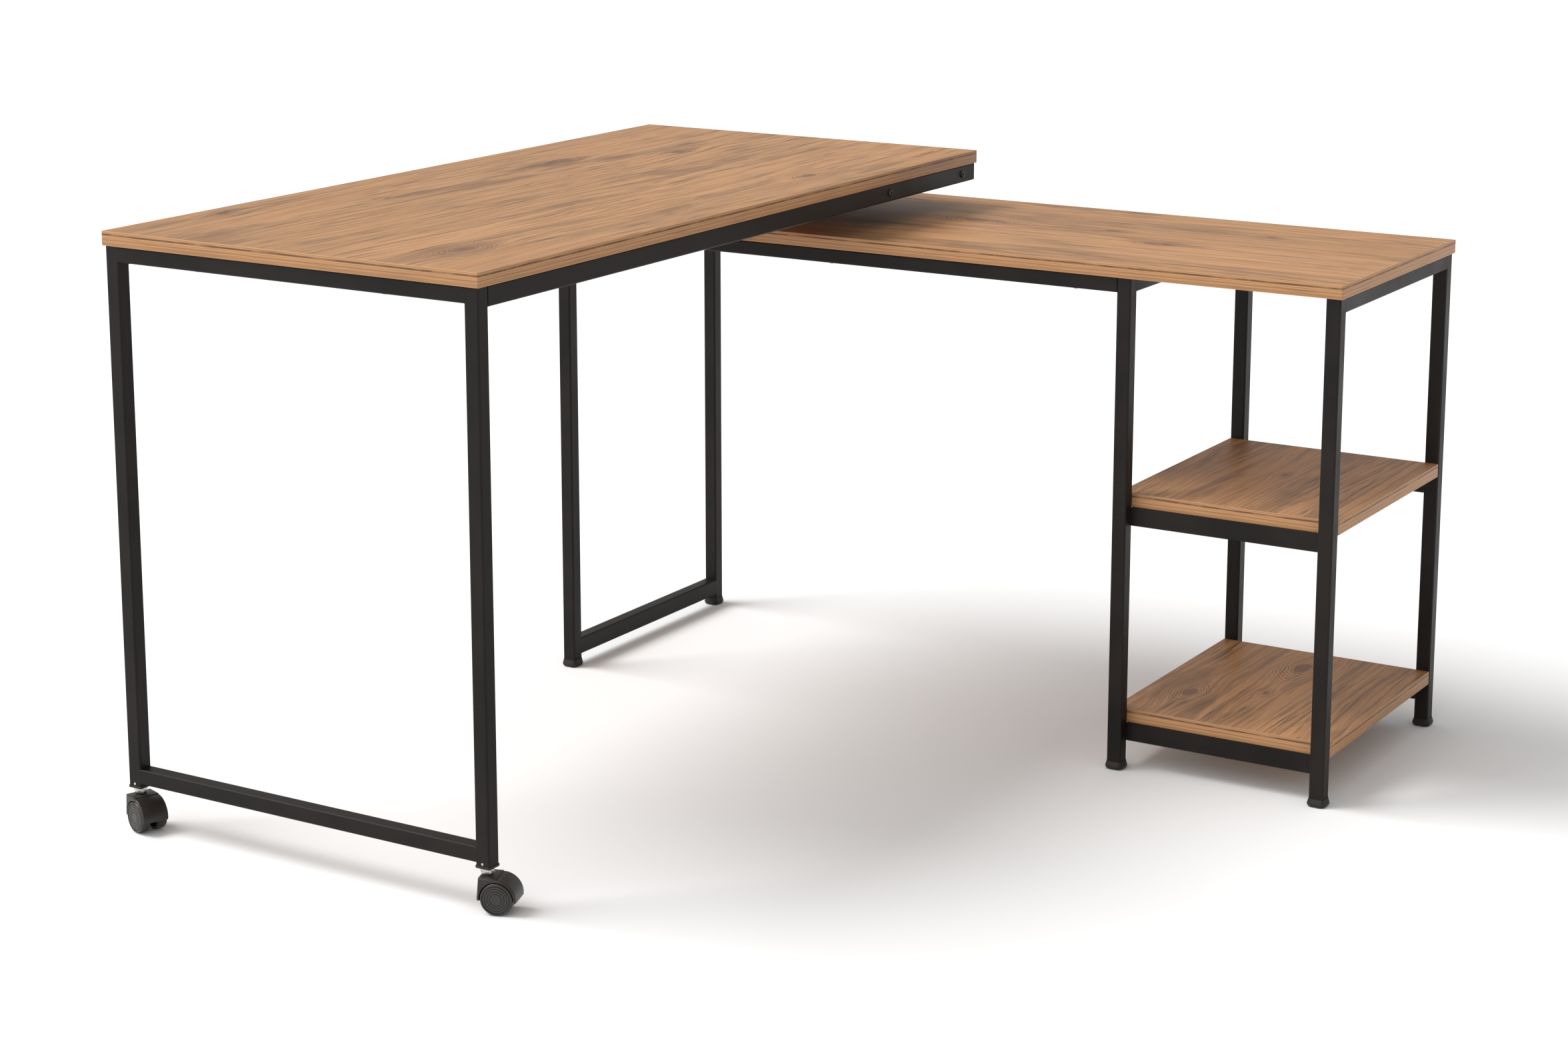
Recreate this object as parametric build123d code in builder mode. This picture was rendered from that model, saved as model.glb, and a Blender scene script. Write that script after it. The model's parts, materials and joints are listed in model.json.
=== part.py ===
"""Corner desk: a rolling desk that pivots on the end of a fixed desk with a shelf tower.

All sizes are in millimetres.  X runs along the fixed desk, Y runs along the
rolling (swing) desk and Z is up from the floor.  The origin is the middle of
the desk's plan, on the floor.
"""

from build123d import *
from math import cos, radians, sin
import os

os.makedirs("parts", exist_ok=True)

# ---------------------------------------------------------------- driving sizes
board_thickness = 18.0
edging_thickness = 1.0
board_corner = 2.0
board_overhang = 3.0

tube_size = 20.0
tube_wall = 1.5
tube_corner = 2.5
end_plate_thickness = 3.0

swing_length = 1200.0
swing_width = 570.0
swing_height = 765.0
swing_rail_height = 25.0
swing_leg_stub = 3.0
cross_rail_setback = 40.0

fixed_length = 1200.0
fixed_depth = 415.0
fixed_height = 685.0
fixed_left_inset = 70.0
fixed_back_step = 62.0
left_bottom_rail_low = 17.0
left_bottom_rail_height = 25.0

tower_width = 307.0
middle_shelf_height = 377.0
bottom_shelf_height = 81.0
angle_leg = 25.0
angle_thickness = 2.0

foot_height = 11.0
foot_floor = 4.0
foot_wall = 2.5
foot_clearance = 0.3
foot_edge = 4.0

cap_thickness = 2.0
cap_insert = 12.0
cap_clearance = 0.5
plug_lip_thickness = 3.0
plug_lip_reach = 0.8
plug_depth = 18.0
plug_clearance = 0.1
rivet_radius = 1.6
rivet_height = 0.8
rivet_rise = 2.5

pivot_base_size = 140.0
pivot_base_corner = 12.0
base_screw_inset = 18.0
pivot_plate_thickness = 4.0
pivot_plate_width = 120.0
plate_bolt_inset = 20.0
pivot_post_radius = 22.0
pivot_spindle_radius = 8.0
pivot_spindle_rise = 25.0
pivot_fit = 0.05
thrust_washer_thickness = 3.0
thrust_washer_radius = 24.0
bush_wall = 3.0
bush_flange_reach = 5.0
bush_flange_thickness = 2.0
lock_nut_flats = 24.0
lock_nut_height = 10.0
lock_nut_gap = 0.3

caster_angles = {"left": -20.0, "right": 19.0}
caster_trail = 15.0
wheel_radius = 20.0
wheel_width = 13.0
wheel_gap = 10.6
wheel_edge = 2.2
axle_radius = 3.0
wheel_fit = 0.05
wheel_web = 1.8
hood_clearance = 1.2
hood_wall = 2.8
hood_half_width = 17.5
hood_skirt_height = 17.0
hood_crown = 1.0
hood_web_gap = 0.6
hood_boss_rise = 1.5
hood_boss_radius = 7.0
hood_edge = 1.8
axle_boss_radius = 8.0
stem_pin_radius = 3.5
stem_thread_radius = 4.0
stem_hex_flats = 13.0
stem_pin_depth = 12.5
stem_gap = 0.3
stem_rise = 7.5

wood_screw_radius = 2.0
wood_screw_bite = 12.0
screw_head_radius = 4.0
screw_head_height = 2.0
pilot_clearance = 0.05
hole_clearance = 0.25
bolt_radius = 3.0
bolt_head_radius = 5.2
bolt_head_height = 3.2
bolt_grip = 10.0
side_head_height = 2.6
access_hole_radius = 7.0
access_hole_inset = 20.0
rail_screw_inset = 60.0
front_screw_inset = 130.0
shelf_screw_inset = 50.0
screw_tip_gap = 1.0
axle_end_gap = 0.3

# ---------------------------------------------------------------- worked-out places
hood_radius = wheel_radius + hood_clearance + hood_wall
hood_top = wheel_radius + hood_radius + hood_crown
hood_boss_top = hood_top + hood_boss_rise
plug_bottom = hood_boss_top + stem_rise
swing_leg_end = plug_bottom + plug_lip_thickness
swing_bottom_rail_low = swing_leg_end + swing_leg_stub

left_caster_turn = radians(caster_angles["left"])
caster_front_reach = (
    hood_half_width * cos(left_caster_turn)
    + hood_radius * abs(sin(left_caster_turn))
    - caster_trail * sin(left_caster_turn)
    - board_overhang
    - tube_size / 2
)
plan_x = fixed_left_inset + fixed_length
plan_y = swing_length + fixed_back_step + caster_front_reach

swing_x0 = -plan_x / 2
swing_x1 = swing_x0 + swing_width
swing_y0 = -plan_y / 2 + caster_front_reach
swing_y1 = swing_y0 + swing_length
swing_under = swing_height - board_thickness
swing_rail_low = swing_under - swing_rail_height
swing_frame_x0 = swing_x0 + board_overhang
swing_frame_x1 = swing_x1 - board_overhang
swing_frame_y0 = swing_y0 + board_overhang
swing_frame_y1 = swing_y1 - board_overhang
leg_left_x = swing_frame_x0 + tube_size / 2
leg_right_x = swing_frame_x1 - tube_size / 2
swing_leg_y = swing_frame_y0 + tube_size / 2

fixed_x0 = swing_x0 + fixed_left_inset
fixed_x1 = fixed_x0 + fixed_length
fixed_y1 = swing_y1 + fixed_back_step
fixed_y0 = fixed_y1 - fixed_depth
fixed_under = fixed_height - board_thickness
fixed_rail_low = fixed_under - tube_size
frame_x0 = fixed_x0 + board_overhang
frame_x1 = fixed_x1 - board_overhang
frame_y0 = fixed_y0 + board_overhang
frame_y1 = fixed_y1 - board_overhang
inner_y0 = frame_y0 + tube_size
inner_y1 = frame_y1 - tube_size
tower_x0 = frame_x1 - tower_width
tower_inner_x0 = tower_x0 + tube_size
tower_inner_x1 = frame_x1 - tube_size

pivot_x = (swing_x0 + swing_x1) / 2
pivot_y = (fixed_y0 + fixed_y1) / 2
swing_plate_low = swing_rail_low - pivot_plate_thickness
pivot_base_top = fixed_height + pivot_plate_thickness
pivot_shoulder = swing_plate_low - thrust_washer_thickness
cross_far_y = swing_y1 - cross_rail_setback
cross_reach = cross_far_y - pivot_y
cross_near_y = pivot_y - cross_reach

swing_leg_back = swing_frame_y0 + tube_size
cross_bolt_z = swing_under - swing_rail_height / 2


# ---------------------------------------------------------------- shared shapes
def save(part, label):
    """Label a finished piece and write it under the same name."""
    part.label = label
    export_step(part, f"parts/{label}.step")


def middle(low, high):
    return tuple((a + b) / 2 for a, b in zip(low, high))


def tube_bar(axis, low, high):
    """Rectangular tube that fills the box from low to high, open at both ends of its axis."""
    planes = {"X": (Plane.YZ, 1, 2, 0), "Y": (Plane.XZ, 0, 2, 1), "Z": (Plane.XY, 0, 1, 2)}
    base, across, up, along = planes[axis]
    centre = middle(low, high)
    size = [b - a for a, b in zip(low, high)]
    section = Plane(origin=centre, x_dir=base.x_dir, z_dir=base.z_dir)
    with BuildPart() as bar:
        with BuildSketch(section):
            RectangleRounded(size[across], size[up], tube_corner)
            RectangleRounded(
                size[across] - 2 * tube_wall,
                size[up] - 2 * tube_wall,
                tube_corner - tube_wall,
                mode=Mode.SUBTRACT,
            )
        extrude(amount=size[along] / 2, both=True)
    return bar


def bore(bar, axis, centres, radius, length):
    """Cut round holes along an axis; each centre is the middle of one hole."""
    turn = {"X": (0, 90, 0), "Y": (90, 0, 0), "Z": (0, 0, 0)}[axis]
    with bar:
        with Locations(*centres):
            Cylinder(radius, length, rotation=turn, mode=Mode.SUBTRACT)


def drill(bar, points, radius, low, high):
    """Cut upright round holes between two heights."""
    bore(bar, "Z", [(x, y, (low + high) / 2) for x, y in points], radius, high - low)


def board(low, high, screws, screw_radius):
    """Laminate core inside its edging, with blind pilot holes from below."""
    x, y, _ = middle(low, high)
    band = 2 * edging_thickness
    with BuildPart() as core:
        with BuildSketch(Plane.XY.offset(low[2])):
            with Locations((x, y)):
                RectangleRounded(
                    high[0] - low[0] - band, high[1] - low[1] - band, board_corner - edging_thickness
                )
        extrude(amount=high[2] - low[2])
        with Locations(*[(sx, sy, low[2] + wood_screw_bite / 2) for sx, sy in screws]):
            Cylinder(screw_radius, wood_screw_bite, mode=Mode.SUBTRACT)
    return core


def edging(low, high):
    """Thin band around a board's four edges."""
    x, y, _ = middle(low, high)
    band = 2 * edging_thickness
    with BuildPart() as ring:
        with BuildSketch(Plane.XY.offset(low[2])):
            with Locations((x, y)):
                RectangleRounded(high[0] - low[0], high[1] - low[1], board_corner)
                RectangleRounded(
                    high[0] - low[0] - band,
                    high[1] - low[1] - band,
                    board_corner - edging_thickness,
                    mode=Mode.SUBTRACT,
                )
        extrude(amount=high[2] - low[2])
    return ring


def wood_screws(places):
    """Pan-head wood screws; each place is (x, y, seat height, shank length)."""
    with BuildPart() as screws:
        for x, y, seat, shank in places:
            with BuildSketch(Plane.XY.offset(seat - screw_head_height)):
                with Locations((x, y)):
                    Circle(screw_head_radius)
            extrude(amount=screw_head_height)
            with BuildSketch(Plane.XY.offset(seat)):
                with Locations((x, y)):
                    Circle(wood_screw_radius)
            extrude(amount=shank)
    return screws


# ---------------------------------------------------------------- swing desk: frame
swing_low = (swing_x0, swing_y0, swing_under)
swing_high = (swing_x1, swing_y1, swing_height)
rail_y0 = swing_frame_y0 + tube_size + end_plate_thickness
swing_screw_ys = [
    rail_y0 + rail_screw_inset,
    (rail_y0 + cross_near_y) / 2,
    cross_near_y - rail_screw_inset,
    cross_far_y - rail_screw_inset,
]
swing_rail_screws = [(x, y) for x in (leg_left_x, leg_right_x) for y in swing_screw_ys]
swing_front_screws = [
    (leg_left_x + front_screw_inset, swing_leg_y),
    (leg_right_x - front_screw_inset, swing_leg_y),
]
screw_hole = wood_screw_radius + hole_clearance
pilot_hole = wood_screw_radius + pilot_clearance

swing_top = board(swing_low, swing_high, swing_rail_screws + swing_front_screws, pilot_hole)
save(swing_top.part, "swing_top")
save(edging(swing_low, swing_high).part, "swing_top_edging")

for side, leg_x in (("left", leg_left_x), ("right", leg_right_x)):
    leg = tube_bar(
        "Z",
        (leg_x - tube_size / 2, swing_frame_y0, swing_leg_end),
        (leg_x + tube_size / 2, swing_frame_y0 + tube_size, swing_under),
    )
    bolt_centre = (leg_x, swing_leg_back, cross_bolt_z)
    bore(leg, "Y", [bolt_centre], bolt_radius + hole_clearance, 2 * tube_wall)
    save(leg.part, f"swing_leg_{side}")

swing_frame_top_rail = tube_bar(
    "X",
    (swing_frame_x0 + tube_size, swing_frame_y0, swing_under - tube_size),
    (swing_frame_x1 - tube_size, swing_frame_y0 + tube_size, swing_under),
)
drill(swing_frame_top_rail, swing_front_screws, screw_hole, swing_under - tube_size, swing_under)
save(swing_frame_top_rail.part, "swing_frame_top_rail")

swing_frame_bottom_rail = tube_bar(
    "X",
    (swing_frame_x0 + tube_size, swing_frame_y0, swing_bottom_rail_low),
    (swing_frame_x1 - tube_size, swing_frame_y0 + tube_size, swing_bottom_rail_low + tube_size),
)
save(swing_frame_bottom_rail.part, "swing_frame_bottom_rail")

for side, rail_x in (("left", leg_left_x), ("right", leg_right_x)):
    rail = tube_bar(
        "Y",
        (rail_x - tube_size / 2, rail_y0, swing_rail_low),
        (rail_x + tube_size / 2, swing_frame_y1 - cap_thickness, swing_under),
    )
    drill(rail, [(rail_x, y) for y in swing_screw_ys], screw_hole, swing_rail_low, swing_under)
    drill(
        rail,
        [(rail_x, rail_y0 + access_hole_inset)],
        access_hole_radius,
        swing_rail_low,
        swing_rail_low + tube_wall,
    )
    cross_bolt_centres = [(rail_x, y, cross_bolt_z) for y in (cross_far_y, cross_near_y)]
    bore(rail, "X", cross_bolt_centres, bolt_radius + hole_clearance, tube_size)
    save(rail.part, f"swing_rail_{side}")

with BuildPart() as swing_rail_end_plates:
    with BuildSketch(Plane.XZ.offset(-(swing_frame_y0 + tube_size))):
        with Locations(
            (leg_left_x, swing_under - swing_rail_height / 2),
            (leg_right_x, swing_under - swing_rail_height / 2),
        ):
            RectangleRounded(tube_size, swing_rail_height, tube_corner)
            Circle(bolt_radius + hole_clearance, mode=Mode.SUBTRACT)
    extrude(amount=-end_plate_thickness)
save(swing_rail_end_plates.part, "swing_rail_end_plates")

with BuildPart() as swing_rail_end_caps:
    with BuildSketch(Plane.XZ.offset(-swing_frame_y1)):
        with Locations(
            (leg_left_x, swing_under - swing_rail_height / 2),
            (leg_right_x, swing_under - swing_rail_height / 2),
        ):
            RectangleRounded(tube_size, swing_rail_height, tube_corner)
    extrude(amount=cap_thickness)
    with BuildSketch(Plane.XZ.offset(-(swing_frame_y1 - cap_thickness))):
        with Locations(
            (leg_left_x, swing_under - swing_rail_height / 2),
            (leg_right_x, swing_under - swing_rail_height / 2),
        ):
            Rectangle(
                tube_size - 2 * (tube_wall + cap_clearance),
                swing_rail_height - 2 * (tube_wall + cap_clearance),
            )
    extrude(amount=cap_insert)
save(swing_rail_end_caps.part, "swing_rail_end_caps")

plate_bolt_x = pivot_plate_width / 2 - plate_bolt_inset
for end, rail_y in (("far", cross_far_y), ("near", cross_near_y)):
    cross = tube_bar(
        "X",
        (swing_frame_x0 + tube_size, rail_y - tube_size / 2, swing_rail_low),
        (swing_frame_x1 - tube_size, rail_y + tube_size / 2, swing_under),
    )
    drill(
        cross,
        [(pivot_x - plate_bolt_x, rail_y), (pivot_x + plate_bolt_x, rail_y)],
        bolt_radius + hole_clearance,
        swing_rail_low,
        swing_rail_low + tube_wall,
    )
    plate_centres = [
        (swing_frame_x0 + tube_size + end_plate_thickness / 2, rail_y, cross_bolt_z),
        (swing_frame_x1 - tube_size - end_plate_thickness / 2, rail_y, cross_bolt_z),
    ]
    with cross:
        with Locations(*plate_centres):
            Box(end_plate_thickness, tube_size - 2 * tube_wall, swing_rail_height - 2 * tube_wall)
    bore(cross, "X", plate_centres, bolt_radius + hole_clearance, end_plate_thickness)
    save(cross.part, f"swing_cross_rail_{end}")

with BuildPart() as swing_cross_rail_bolts:
    for face_x, way in ((swing_frame_x0, 1), (swing_frame_x1, -1)):
        for rail_y in (cross_far_y, cross_near_y):
            with BuildSketch(Plane.YZ.offset(face_x)):
                with Locations((rail_y, cross_bolt_z)):
                    Circle(bolt_head_radius)
            extrude(amount=-way * side_head_height)
            with BuildSketch(Plane.YZ.offset(face_x)):
                with Locations((rail_y, cross_bolt_z)):
                    Circle(bolt_radius)
            extrude(amount=way * (tube_size + bolt_grip))
save(swing_cross_rail_bolts.part, "swing_cross_rail_bolts")


def frame_bolts(places):
    """Hidden bolts along Y that pull a rail's end plate to its leg; the head is inside the rail.

    Each place is (x, y of the leg face, z, direction from the leg to the rail).
    """
    with BuildPart() as bolts:
        for x, y, z, way in places:
            with BuildSketch(Plane.XZ.offset(-(y + way * end_plate_thickness))):
                with Locations((x, z)):
                    Circle(bolt_head_radius)
            extrude(amount=-way * bolt_head_height)
            with BuildSketch(Plane.XZ.offset(-(y - way * bolt_grip))):
                with Locations((x, z)):
                    Circle(bolt_radius)
            extrude(amount=-way * (bolt_grip + end_plate_thickness))
    return bolts


swing_frame_bolts = frame_bolts([(x, swing_leg_back, cross_bolt_z, 1) for x in (leg_left_x, leg_right_x)])
save(swing_frame_bolts.part, "swing_frame_bolts")

screw_reach = wood_screw_bite - screw_tip_gap
swing_top_screws = wood_screws(
    [(x, y, swing_rail_low, swing_rail_height + screw_reach) for x, y in swing_rail_screws]
    + [(x, y, swing_under - tube_size, tube_size + screw_reach) for x, y in swing_front_screws]
)
save(swing_top_screws.part, "swing_top_screws")

# ---------------------------------------------------------------- swing desk: leg ends
plug_size = tube_size - 2 * (tube_wall + plug_clearance)
with BuildPart() as swing_leg_plugs:
    for leg_x in (leg_left_x, leg_right_x):
        with BuildSketch(Plane.XY.offset(plug_bottom)):
            with Locations((leg_x, swing_leg_y)):
                RectangleRounded(
                    tube_size + 2 * plug_lip_reach, tube_size + 2 * plug_lip_reach, tube_corner
                )
                Circle(stem_thread_radius, mode=Mode.SUBTRACT)
        extrude(amount=plug_lip_thickness)
        with BuildSketch(Plane.XY.offset(swing_leg_end)):
            with Locations((leg_x, swing_leg_y)):
                RectangleRounded(plug_size, plug_size, tube_corner - tube_wall)
                Circle(stem_thread_radius, mode=Mode.SUBTRACT)
        extrude(amount=plug_depth)
save(swing_leg_plugs.part, "swing_leg_plugs")

with BuildPart() as swing_plug_rivets:
    with BuildSketch(Plane.XZ.offset(-swing_frame_y0)):
        with Locations(*[(x, swing_leg_end + rivet_rise) for x in (leg_left_x, leg_right_x)]):
            Circle(rivet_radius)
    extrude(amount=rivet_height)
save(swing_plug_rivets.part, "swing_plug_rivets")

# ---------------------------------------------------------------- pivot between the desks
plate_length = 2 * cross_reach + tube_size
bush_radius = pivot_spindle_radius + pivot_fit + bush_wall
plate_bolt_places = [
    (pivot_x + sx * plate_bolt_x, y) for sx in (-1, 1) for y in (cross_near_y, cross_far_y)
]
with BuildPart() as pivot_swing_plate:
    with BuildSketch(Plane.XY.offset(swing_plate_low)):
        with Locations((pivot_x, pivot_y)):
            RectangleRounded(pivot_plate_width, plate_length, pivot_base_corner)
            Circle(bush_radius, mode=Mode.SUBTRACT)
        with Locations(*plate_bolt_places):
            Circle(bolt_radius + hole_clearance, mode=Mode.SUBTRACT)
    extrude(amount=pivot_plate_thickness)
save(pivot_swing_plate.part, "pivot_swing_plate")

with BuildPart() as pivot_plate_bolts:
    with BuildSketch(Plane.XY.offset(swing_plate_low - bolt_head_height)):
        with Locations(*plate_bolt_places):
            Circle(bolt_head_radius)
    extrude(amount=bolt_head_height)
    with BuildSketch(Plane.XY.offset(swing_plate_low)):
        with Locations(*plate_bolt_places):
            Circle(bolt_radius)
    extrude(amount=pivot_plate_thickness + bolt_grip)
save(pivot_plate_bolts.part, "pivot_plate_bolts")

with BuildPart() as pivot_bush:
    with BuildSketch(Plane.XY.offset(swing_plate_low)):
        with Locations((pivot_x, pivot_y)):
            Circle(bush_radius)
            Circle(pivot_spindle_radius + pivot_fit, mode=Mode.SUBTRACT)
    extrude(amount=pivot_plate_thickness)
    with BuildSketch(Plane.XY.offset(swing_rail_low)):
        with Locations((pivot_x, pivot_y)):
            Circle(bush_radius + bush_flange_reach)
            Circle(pivot_spindle_radius + pivot_fit, mode=Mode.SUBTRACT)
    extrude(amount=bush_flange_thickness)
save(pivot_bush.part, "pivot_bush")

base_screw_reach = pivot_base_size / 2 - base_screw_inset
base_screw_places = [
    (pivot_x + sx * base_screw_reach, pivot_y + sy * base_screw_reach) for sx in (-1, 1) for sy in (-1, 1)
]
with BuildPart() as pivot_base_plate:
    with BuildSketch(Plane.XY.offset(fixed_height)):
        with Locations((pivot_x, pivot_y)):
            RectangleRounded(pivot_base_size, pivot_base_size, pivot_base_corner)
        with Locations(*base_screw_places):
            Circle(wood_screw_radius + hole_clearance, mode=Mode.SUBTRACT)
    extrude(amount=pivot_plate_thickness)
save(pivot_base_plate.part, "pivot_base_plate")

with BuildPart() as pivot_post:
    with BuildSketch(Plane.XY.offset(pivot_base_top)):
        with Locations((pivot_x, pivot_y)):
            Circle(pivot_post_radius)
    extrude(amount=pivot_shoulder - pivot_base_top)
    with BuildSketch(Plane.XY.offset(pivot_shoulder)):
        with Locations((pivot_x, pivot_y)):
            Circle(pivot_spindle_radius)
    extrude(amount=pivot_spindle_rise)
save(pivot_post.part, "pivot_post")

with BuildPart() as pivot_thrust_washer:
    with BuildSketch(Plane.XY.offset(pivot_shoulder)):
        with Locations((pivot_x, pivot_y)):
            Circle(thrust_washer_radius)
            Circle(pivot_spindle_radius + pivot_fit, mode=Mode.SUBTRACT)
    extrude(amount=thrust_washer_thickness)
save(pivot_thrust_washer.part, "pivot_thrust_washer")

nut_low = swing_rail_low + bush_flange_thickness + lock_nut_gap
with BuildPart() as pivot_lock_nut:
    with BuildSketch(Plane.XY.offset(nut_low)):
        with Locations((pivot_x, pivot_y)):
            RegularPolygon(lock_nut_flats / 2, 6, major_radius=False)
            Circle(pivot_spindle_radius, mode=Mode.SUBTRACT)
    extrude(amount=lock_nut_height)
save(pivot_lock_nut.part, "pivot_lock_nut")

with BuildPart() as pivot_base_screws:
    with BuildSketch(Plane.XY.offset(pivot_base_top)):
        with Locations(*base_screw_places):
            Circle(screw_head_radius)
    extrude(amount=screw_head_height)
    with BuildSketch(Plane.XY.offset(pivot_base_top)):
        with Locations(*base_screw_places):
            Circle(wood_screw_radius)
    extrude(amount=-(pivot_plate_thickness + screw_reach))
save(pivot_base_screws.part, "pivot_base_screws")


# ---------------------------------------------------------------- casters
def caster(side, stem_x, stem_y):
    """Twin-wheel swivel caster, made along its own trail direction and turned about its stem."""
    turn = Location((stem_x, stem_y, 0), (0, 0, caster_angles[side]))
    across = wheel_gap / 2
    web_half = across - hood_web_gap

    with BuildPart() as stem:
        with BuildSketch(Plane.XY.offset(hood_boss_top + stem_gap)):
            RegularPolygon(stem_hex_flats / 2, 6, major_radius=False)
        extrude(amount=plug_bottom - hood_boss_top - stem_gap)
        with BuildSketch(Plane.XY.offset(plug_bottom)):
            Circle(stem_thread_radius)
        extrude(amount=plug_depth)
        with BuildSketch(Plane.XY.offset(hood_boss_top + stem_gap)):
            Circle(stem_pin_radius)
        extrude(amount=-stem_pin_depth)
    save(turn * stem.part, f"{side}_caster_stem")

    with BuildPart() as hood:
        with BuildSketch(Plane.XZ):
            with Locations((caster_trail, wheel_radius)):
                Circle(hood_radius)
            with BuildLine():
                Polyline(
                    (caster_trail - hood_radius, wheel_radius),
                    (-hood_boss_radius, hood_top),
                    (caster_trail, hood_top),
                    (caster_trail, wheel_radius),
                    close=True,
                )
            make_face()
            with Locations((caster_trail, hood_skirt_height - hood_radius)):
                Rectangle(2 * hood_radius, 2 * hood_radius, mode=Mode.SUBTRACT)
        extrude(amount=hood_half_width, both=True)
        rims = hood.edges().group_by(Axis.Y)
        fillet(rims[0] + rims[-1], hood_edge)
        with BuildSketch(Plane.XZ):
            with Locations((caster_trail, wheel_radius)):
                Circle(axle_boss_radius)
        extrude(amount=web_half, both=True)
        with BuildSketch(Plane.XY.offset(hood_top - hood_wall)):
            Circle(hood_boss_radius)
        extrude(amount=hood_boss_top - hood_top + hood_wall)
        for way in (-1, 1):
            with BuildSketch(Plane.XZ.offset(way * web_half)):
                with Locations((caster_trail, wheel_radius)):
                    Circle(wheel_radius + hood_clearance)
            extrude(amount=way * hood_half_width, mode=Mode.SUBTRACT)
        with BuildSketch(Plane.XY.offset(hood_boss_top)):
            Circle(stem_pin_radius + wheel_fit)
        extrude(amount=-(stem_pin_depth + stem_gap), mode=Mode.SUBTRACT)
        with BuildSketch(Plane.XZ):
            with Locations((caster_trail, wheel_radius)):
                Circle(axle_radius)
        extrude(amount=hood_half_width, both=True, mode=Mode.SUBTRACT)
    save(turn * hood.part, f"{side}_caster_hood")

    axle_half = across + wheel_width - wheel_web - axle_end_gap
    with BuildPart() as axle:
        with BuildSketch(Plane.XZ):
            with Locations((caster_trail, wheel_radius)):
                Circle(axle_radius)
        extrude(amount=axle_half, both=True)
    save(turn * axle.part, f"{side}_caster_axle")

    for place, way in (("front", -1), ("back", 1)):
        with BuildPart() as wheel:
            with BuildSketch(Plane.XZ.offset(-way * across)):
                with Locations((caster_trail, wheel_radius)):
                    Circle(wheel_radius)
            extrude(amount=-way * wheel_width)
            outer_faces = wheel.edges().group_by(Axis.Y)
            fillet(outer_faces[0] + outer_faces[-1], wheel_edge)
            with BuildSketch(Plane.XZ.offset(-way * across)):
                with Locations((caster_trail, wheel_radius)):
                    Circle(axle_radius + wheel_fit)
            extrude(amount=-way * (wheel_width - wheel_web), mode=Mode.SUBTRACT)
        save(turn * wheel.part, f"{side}_caster_wheel_{place}")


caster("left", leg_left_x, swing_leg_y)
caster("right", leg_right_x, swing_leg_y)

# ---------------------------------------------------------------- fixed desk: top and screws
fixed_low = (fixed_x0, fixed_y0, fixed_under)
fixed_high = (fixed_x1, fixed_y1, fixed_height)
left_leg_x = frame_x0 + tube_size / 2
rail_x0 = frame_x0 + tube_size + end_plate_thickness
rail_x1 = tower_x0 - end_plate_thickness
front_leg_y = frame_y0 + tube_size / 2
back_leg_y = frame_y1 - tube_size / 2
side_screw_ys = [inner_y0 + rail_screw_inset, inner_y1 - rail_screw_inset]
long_screw_xs = [rail_x0 + rail_screw_inset, (rail_x0 + rail_x1) / 2, rail_x1 - rail_screw_inset]
tower_rail_xs = [tower_x0 + tube_size / 2, frame_x1 - tube_size / 2]

side_screws = [(x, y) for x in [left_leg_x] + tower_rail_xs for y in side_screw_ys]
long_screws = [(x, y) for x in long_screw_xs for y in (front_leg_y, back_leg_y)]
angle_ys = [inner_y0 + angle_leg / 2, inner_y1 - angle_leg / 2]
shelf_screw_xs = [tower_inner_x0 + shelf_screw_inset, tower_inner_x1 - shelf_screw_inset]
shelf_screws = [(x, y) for x in shelf_screw_xs for y in angle_ys]

fixed_top = board(fixed_low, fixed_high, side_screws + long_screws, pilot_hole)
drill(fixed_top, base_screw_places, pilot_hole, fixed_height - wood_screw_bite, fixed_height)
save(fixed_top.part, "fixed_top")
save(edging(fixed_low, fixed_high).part, "fixed_top_edging")

# ---------------------------------------------------------------- fixed desk: legs and rails
leg_places = {
    "fixed_leg_left_front": (frame_x0, frame_y0),
    "fixed_leg_left_back": (frame_x0, inner_y1),
    "tower_leg_inner_front": (tower_x0, frame_y0),
    "tower_leg_inner_back": (tower_x0, inner_y1),
    "tower_leg_outer_front": (tower_inner_x1, frame_y0),
    "tower_leg_outer_back": (tower_inner_x1, inner_y1),
}
fixed_bolt_z = fixed_under - tube_size / 2
for label, (x, y) in leg_places.items():
    leg = tube_bar("Z", (x, y, foot_floor), (x + tube_size, y + tube_size, fixed_under))
    joined_right = label.startswith("fixed_leg")
    joined_left = label.startswith("tower_leg_inner")
    if joined_right or joined_left:
        face_x = x + tube_size if joined_right else x
        bolt_centre = (face_x, y + tube_size / 2, fixed_bolt_z)
        bore(leg, "X", [bolt_centre], bolt_radius + hole_clearance, 2 * tube_wall)
    save(leg.part, label)

for label, x in (
    ("fixed_left_top_rail", frame_x0),
    ("tower_top_rail_inner", tower_x0),
    ("tower_top_rail_outer", tower_inner_x1),
):
    rail = tube_bar("Y", (x, inner_y0, fixed_rail_low), (x + tube_size, inner_y1, fixed_under))
    drill(rail, [(x + tube_size / 2, y) for y in side_screw_ys], screw_hole, fixed_rail_low, fixed_under)
    save(rail.part, label)

fixed_left_bottom_rail = tube_bar(
    "Y",
    (frame_x0, inner_y0, left_bottom_rail_low),
    (frame_x0 + tube_size, inner_y1, left_bottom_rail_low + left_bottom_rail_height),
)
save(fixed_left_bottom_rail.part, "fixed_left_bottom_rail")

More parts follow.
